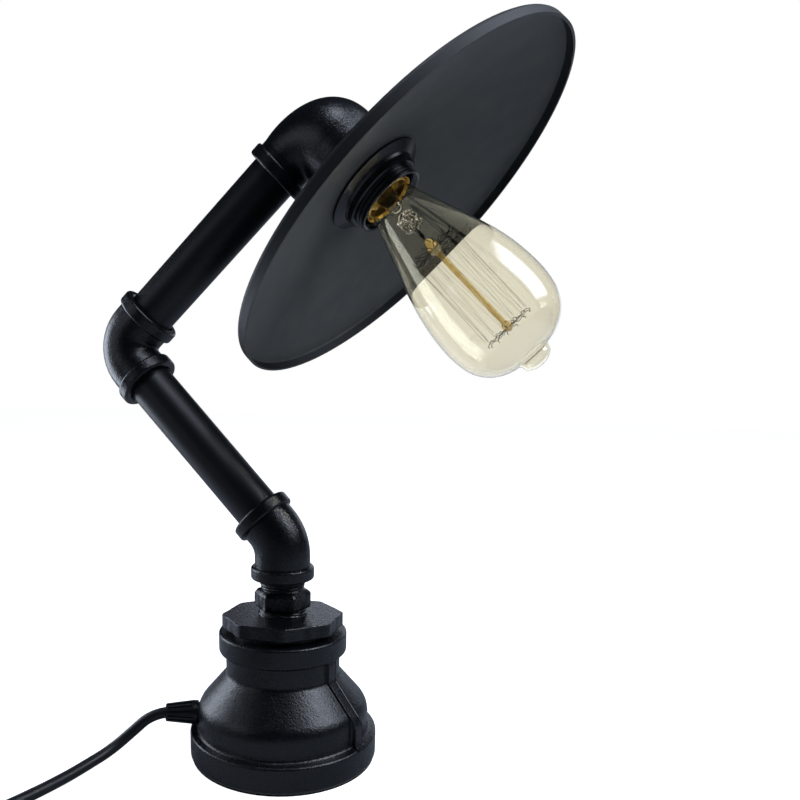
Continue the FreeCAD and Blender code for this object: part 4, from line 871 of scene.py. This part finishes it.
roomFacts = {"floorSize": 6.0, "floor": "#ececec", "floorGlow": 0.97, "floorBounce": "#acb0b5",
             "backdrop": 1.0, "studio": "#8d9db4", "studioStrength": 0.045}


def seenDirectly(tree):  # 1 for rays that come straight from the lens or through glass, 0 for reflections
    rays = addNode(tree, "ShaderNodeLightPath")
    kinds = {0: rays.outputs["Is Camera Ray"], 1: rays.outputs["Is Transmission Ray"]}
    return addNode(tree, "ShaderNodeMath", {"operation": "MAXIMUM"}, kinds).outputs["Value"]


def sweepSurface(name, facts):
    # a lit acrylic sweep: it glows white to the lens and throws little of that back at the lamp
    material = bpy.data.materials.new(name)
    material.use_nodes = True
    tree = material.node_tree
    tree.nodes.remove(tree.nodes["Principled BSDF"])
    glow = addNode(tree, "ShaderNodeEmission", {"Strength": facts["floorGlow"]})
    lit = addNode(tree, "ShaderNodeBsdfDiffuse", {"Color": colour(facts["floor"])})
    dull = addNode(tree, "ShaderNodeBsdfDiffuse", {"Color": colour(facts["floorBounce"])})
    bright = addNode(tree, "ShaderNodeAddShader", links={0: glow.outputs["Emission"], 1: lit.outputs["BSDF"]})
    both = addNode(tree, "ShaderNodeMixShader", links={
        "Fac": seenDirectly(tree), 1: dull.outputs["BSDF"], 2: bright.outputs["Shader"]})
    tree.links.new(both.outputs["Shader"], tree.nodes["Material Output"].inputs["Surface"])
    return material


def makeRoom(facts):
    half = facts["floorSize"] / 2
    mesh = bpy.data.meshes.new("floor")
    corners = [(-half, -half, 0), (half, -half, 0), (half, half, 0), (-half, half, 0)]
    mesh.from_pydata(corners, [], [(0, 1, 2, 3)])
    mesh.materials.append(sweepSurface("acrylicSweep", facts))
    floor = bpy.data.objects.new("floor", mesh)
    bpy.context.scene.collection.objects.link(floor)
    world = bpy.data.worlds.new("studio")
    world.use_nodes = True
    tree = world.node_tree
    dim = tree.nodes["Background"]
    dim.inputs["Color"].default_value = colour(facts["studio"])
    dim.inputs["Strength"].default_value = facts["studioStrength"]
    white = addNode(tree, "ShaderNodeBackground", {"Color": (1, 1, 1, 1), "Strength": facts["backdrop"]})
    both = addNode(tree, "ShaderNodeMixShader", links={
        "Fac": seenDirectly(tree), 1: dim.outputs["Background"], 2: white.outputs["Background"]})
    tree.links.new(both.outputs["Shader"], tree.nodes["World Output"].inputs["Surface"])
    bpy.context.scene.world = world
    bpy.context.scene.view_settings.view_transform = "Standard"


lightFacts = {"tint": "#dde6f6", "softEdge": 0.2,  # softEdge is a part of the width and of the height
              "windows": [  # name, place, aimed at, width and height, power, seen through the glass
                  ("skyWindow", (0.84, 0.15, 1.05), (0.05, 0.0, 0.18), (0.80, 1.05), 22.0, True),
                  ("overhead", (0.07, -0.13, 0.78), (0.05, 0.0, 0.34), (0.20, 0.20), 1.3, True),
                  ("backWindow", (-0.08, 1.35, 0.34), (0.05, 0.0, 0.2), (1.60, 0.62), 3.8, False),
                  ("leftWindow", (-0.45, 0.01, 0.22), (0.05, 0.0, 0.22), (0.26, 0.44), 1.9, True),
                  ("frontSoftbox", (-0.72, -0.72, 0.55), (0.0, 0.0, 0.28), (0.80, 0.80), 1.7, True)]}


def fadeEdges(light, softEdge):
    # strength = across * up, where each is a smooth step from 0 at both edges to 1 at softEdge inside them
    light.use_nodes = True
    tree = light.node_tree
    face = addNode(tree, "ShaderNodeNewGeometry").outputs["Parametric"]
    split = addNode(tree, "ShaderNodeSeparateXYZ", links={"Vector": face})
    fades = []
    for axis in ("X", "Y"):
        inward = addNode(tree, "ShaderNodeMath", {"operation": "PINGPONG", 1: 0.5}, {0: split.outputs[axis]})
        fade = addNode(tree, "ShaderNodeMapRange", {"interpolation_type": "SMOOTHSTEP", "From Min": 0.0,
                                                    "From Max": softEdge}, {"Value": inward.outputs["Value"]})
        fades.append(fade.outputs["Result"])
    product = addNode(tree, "ShaderNodeMath", {"operation": "MULTIPLY"}, {0: fades[0], 1: fades[1]})
    tree.links.new(product.outputs["Value"], tree.nodes["Emission"].inputs["Strength"])


def makeLights(facts):
    for name, spot, aim, (width, height), power, throughGlass in facts["windows"]:
        light = bpy.data.lights.new(name, "AREA")
        light.shape, light.size, light.size_y, light.energy = "RECTANGLE", width, height, power
        light.color = colour(facts["tint"])[:3]
        fadeEdges(light, facts["softEdge"])
        window = bpy.data.objects.new(name, light)
        window.location = spot
        window.rotation_euler = (Vector(aim) - Vector(spot)).to_track_quat("-Z", "Y").to_euler()
        window.visible_camera = False
        window.visible_transmission = throughGlass
        bpy.context.scene.collection.objects.link(window)


makeRoom(roomFacts)
makeLights(lightFacts)
print("room lit")

bpy.context.view_layer.update()
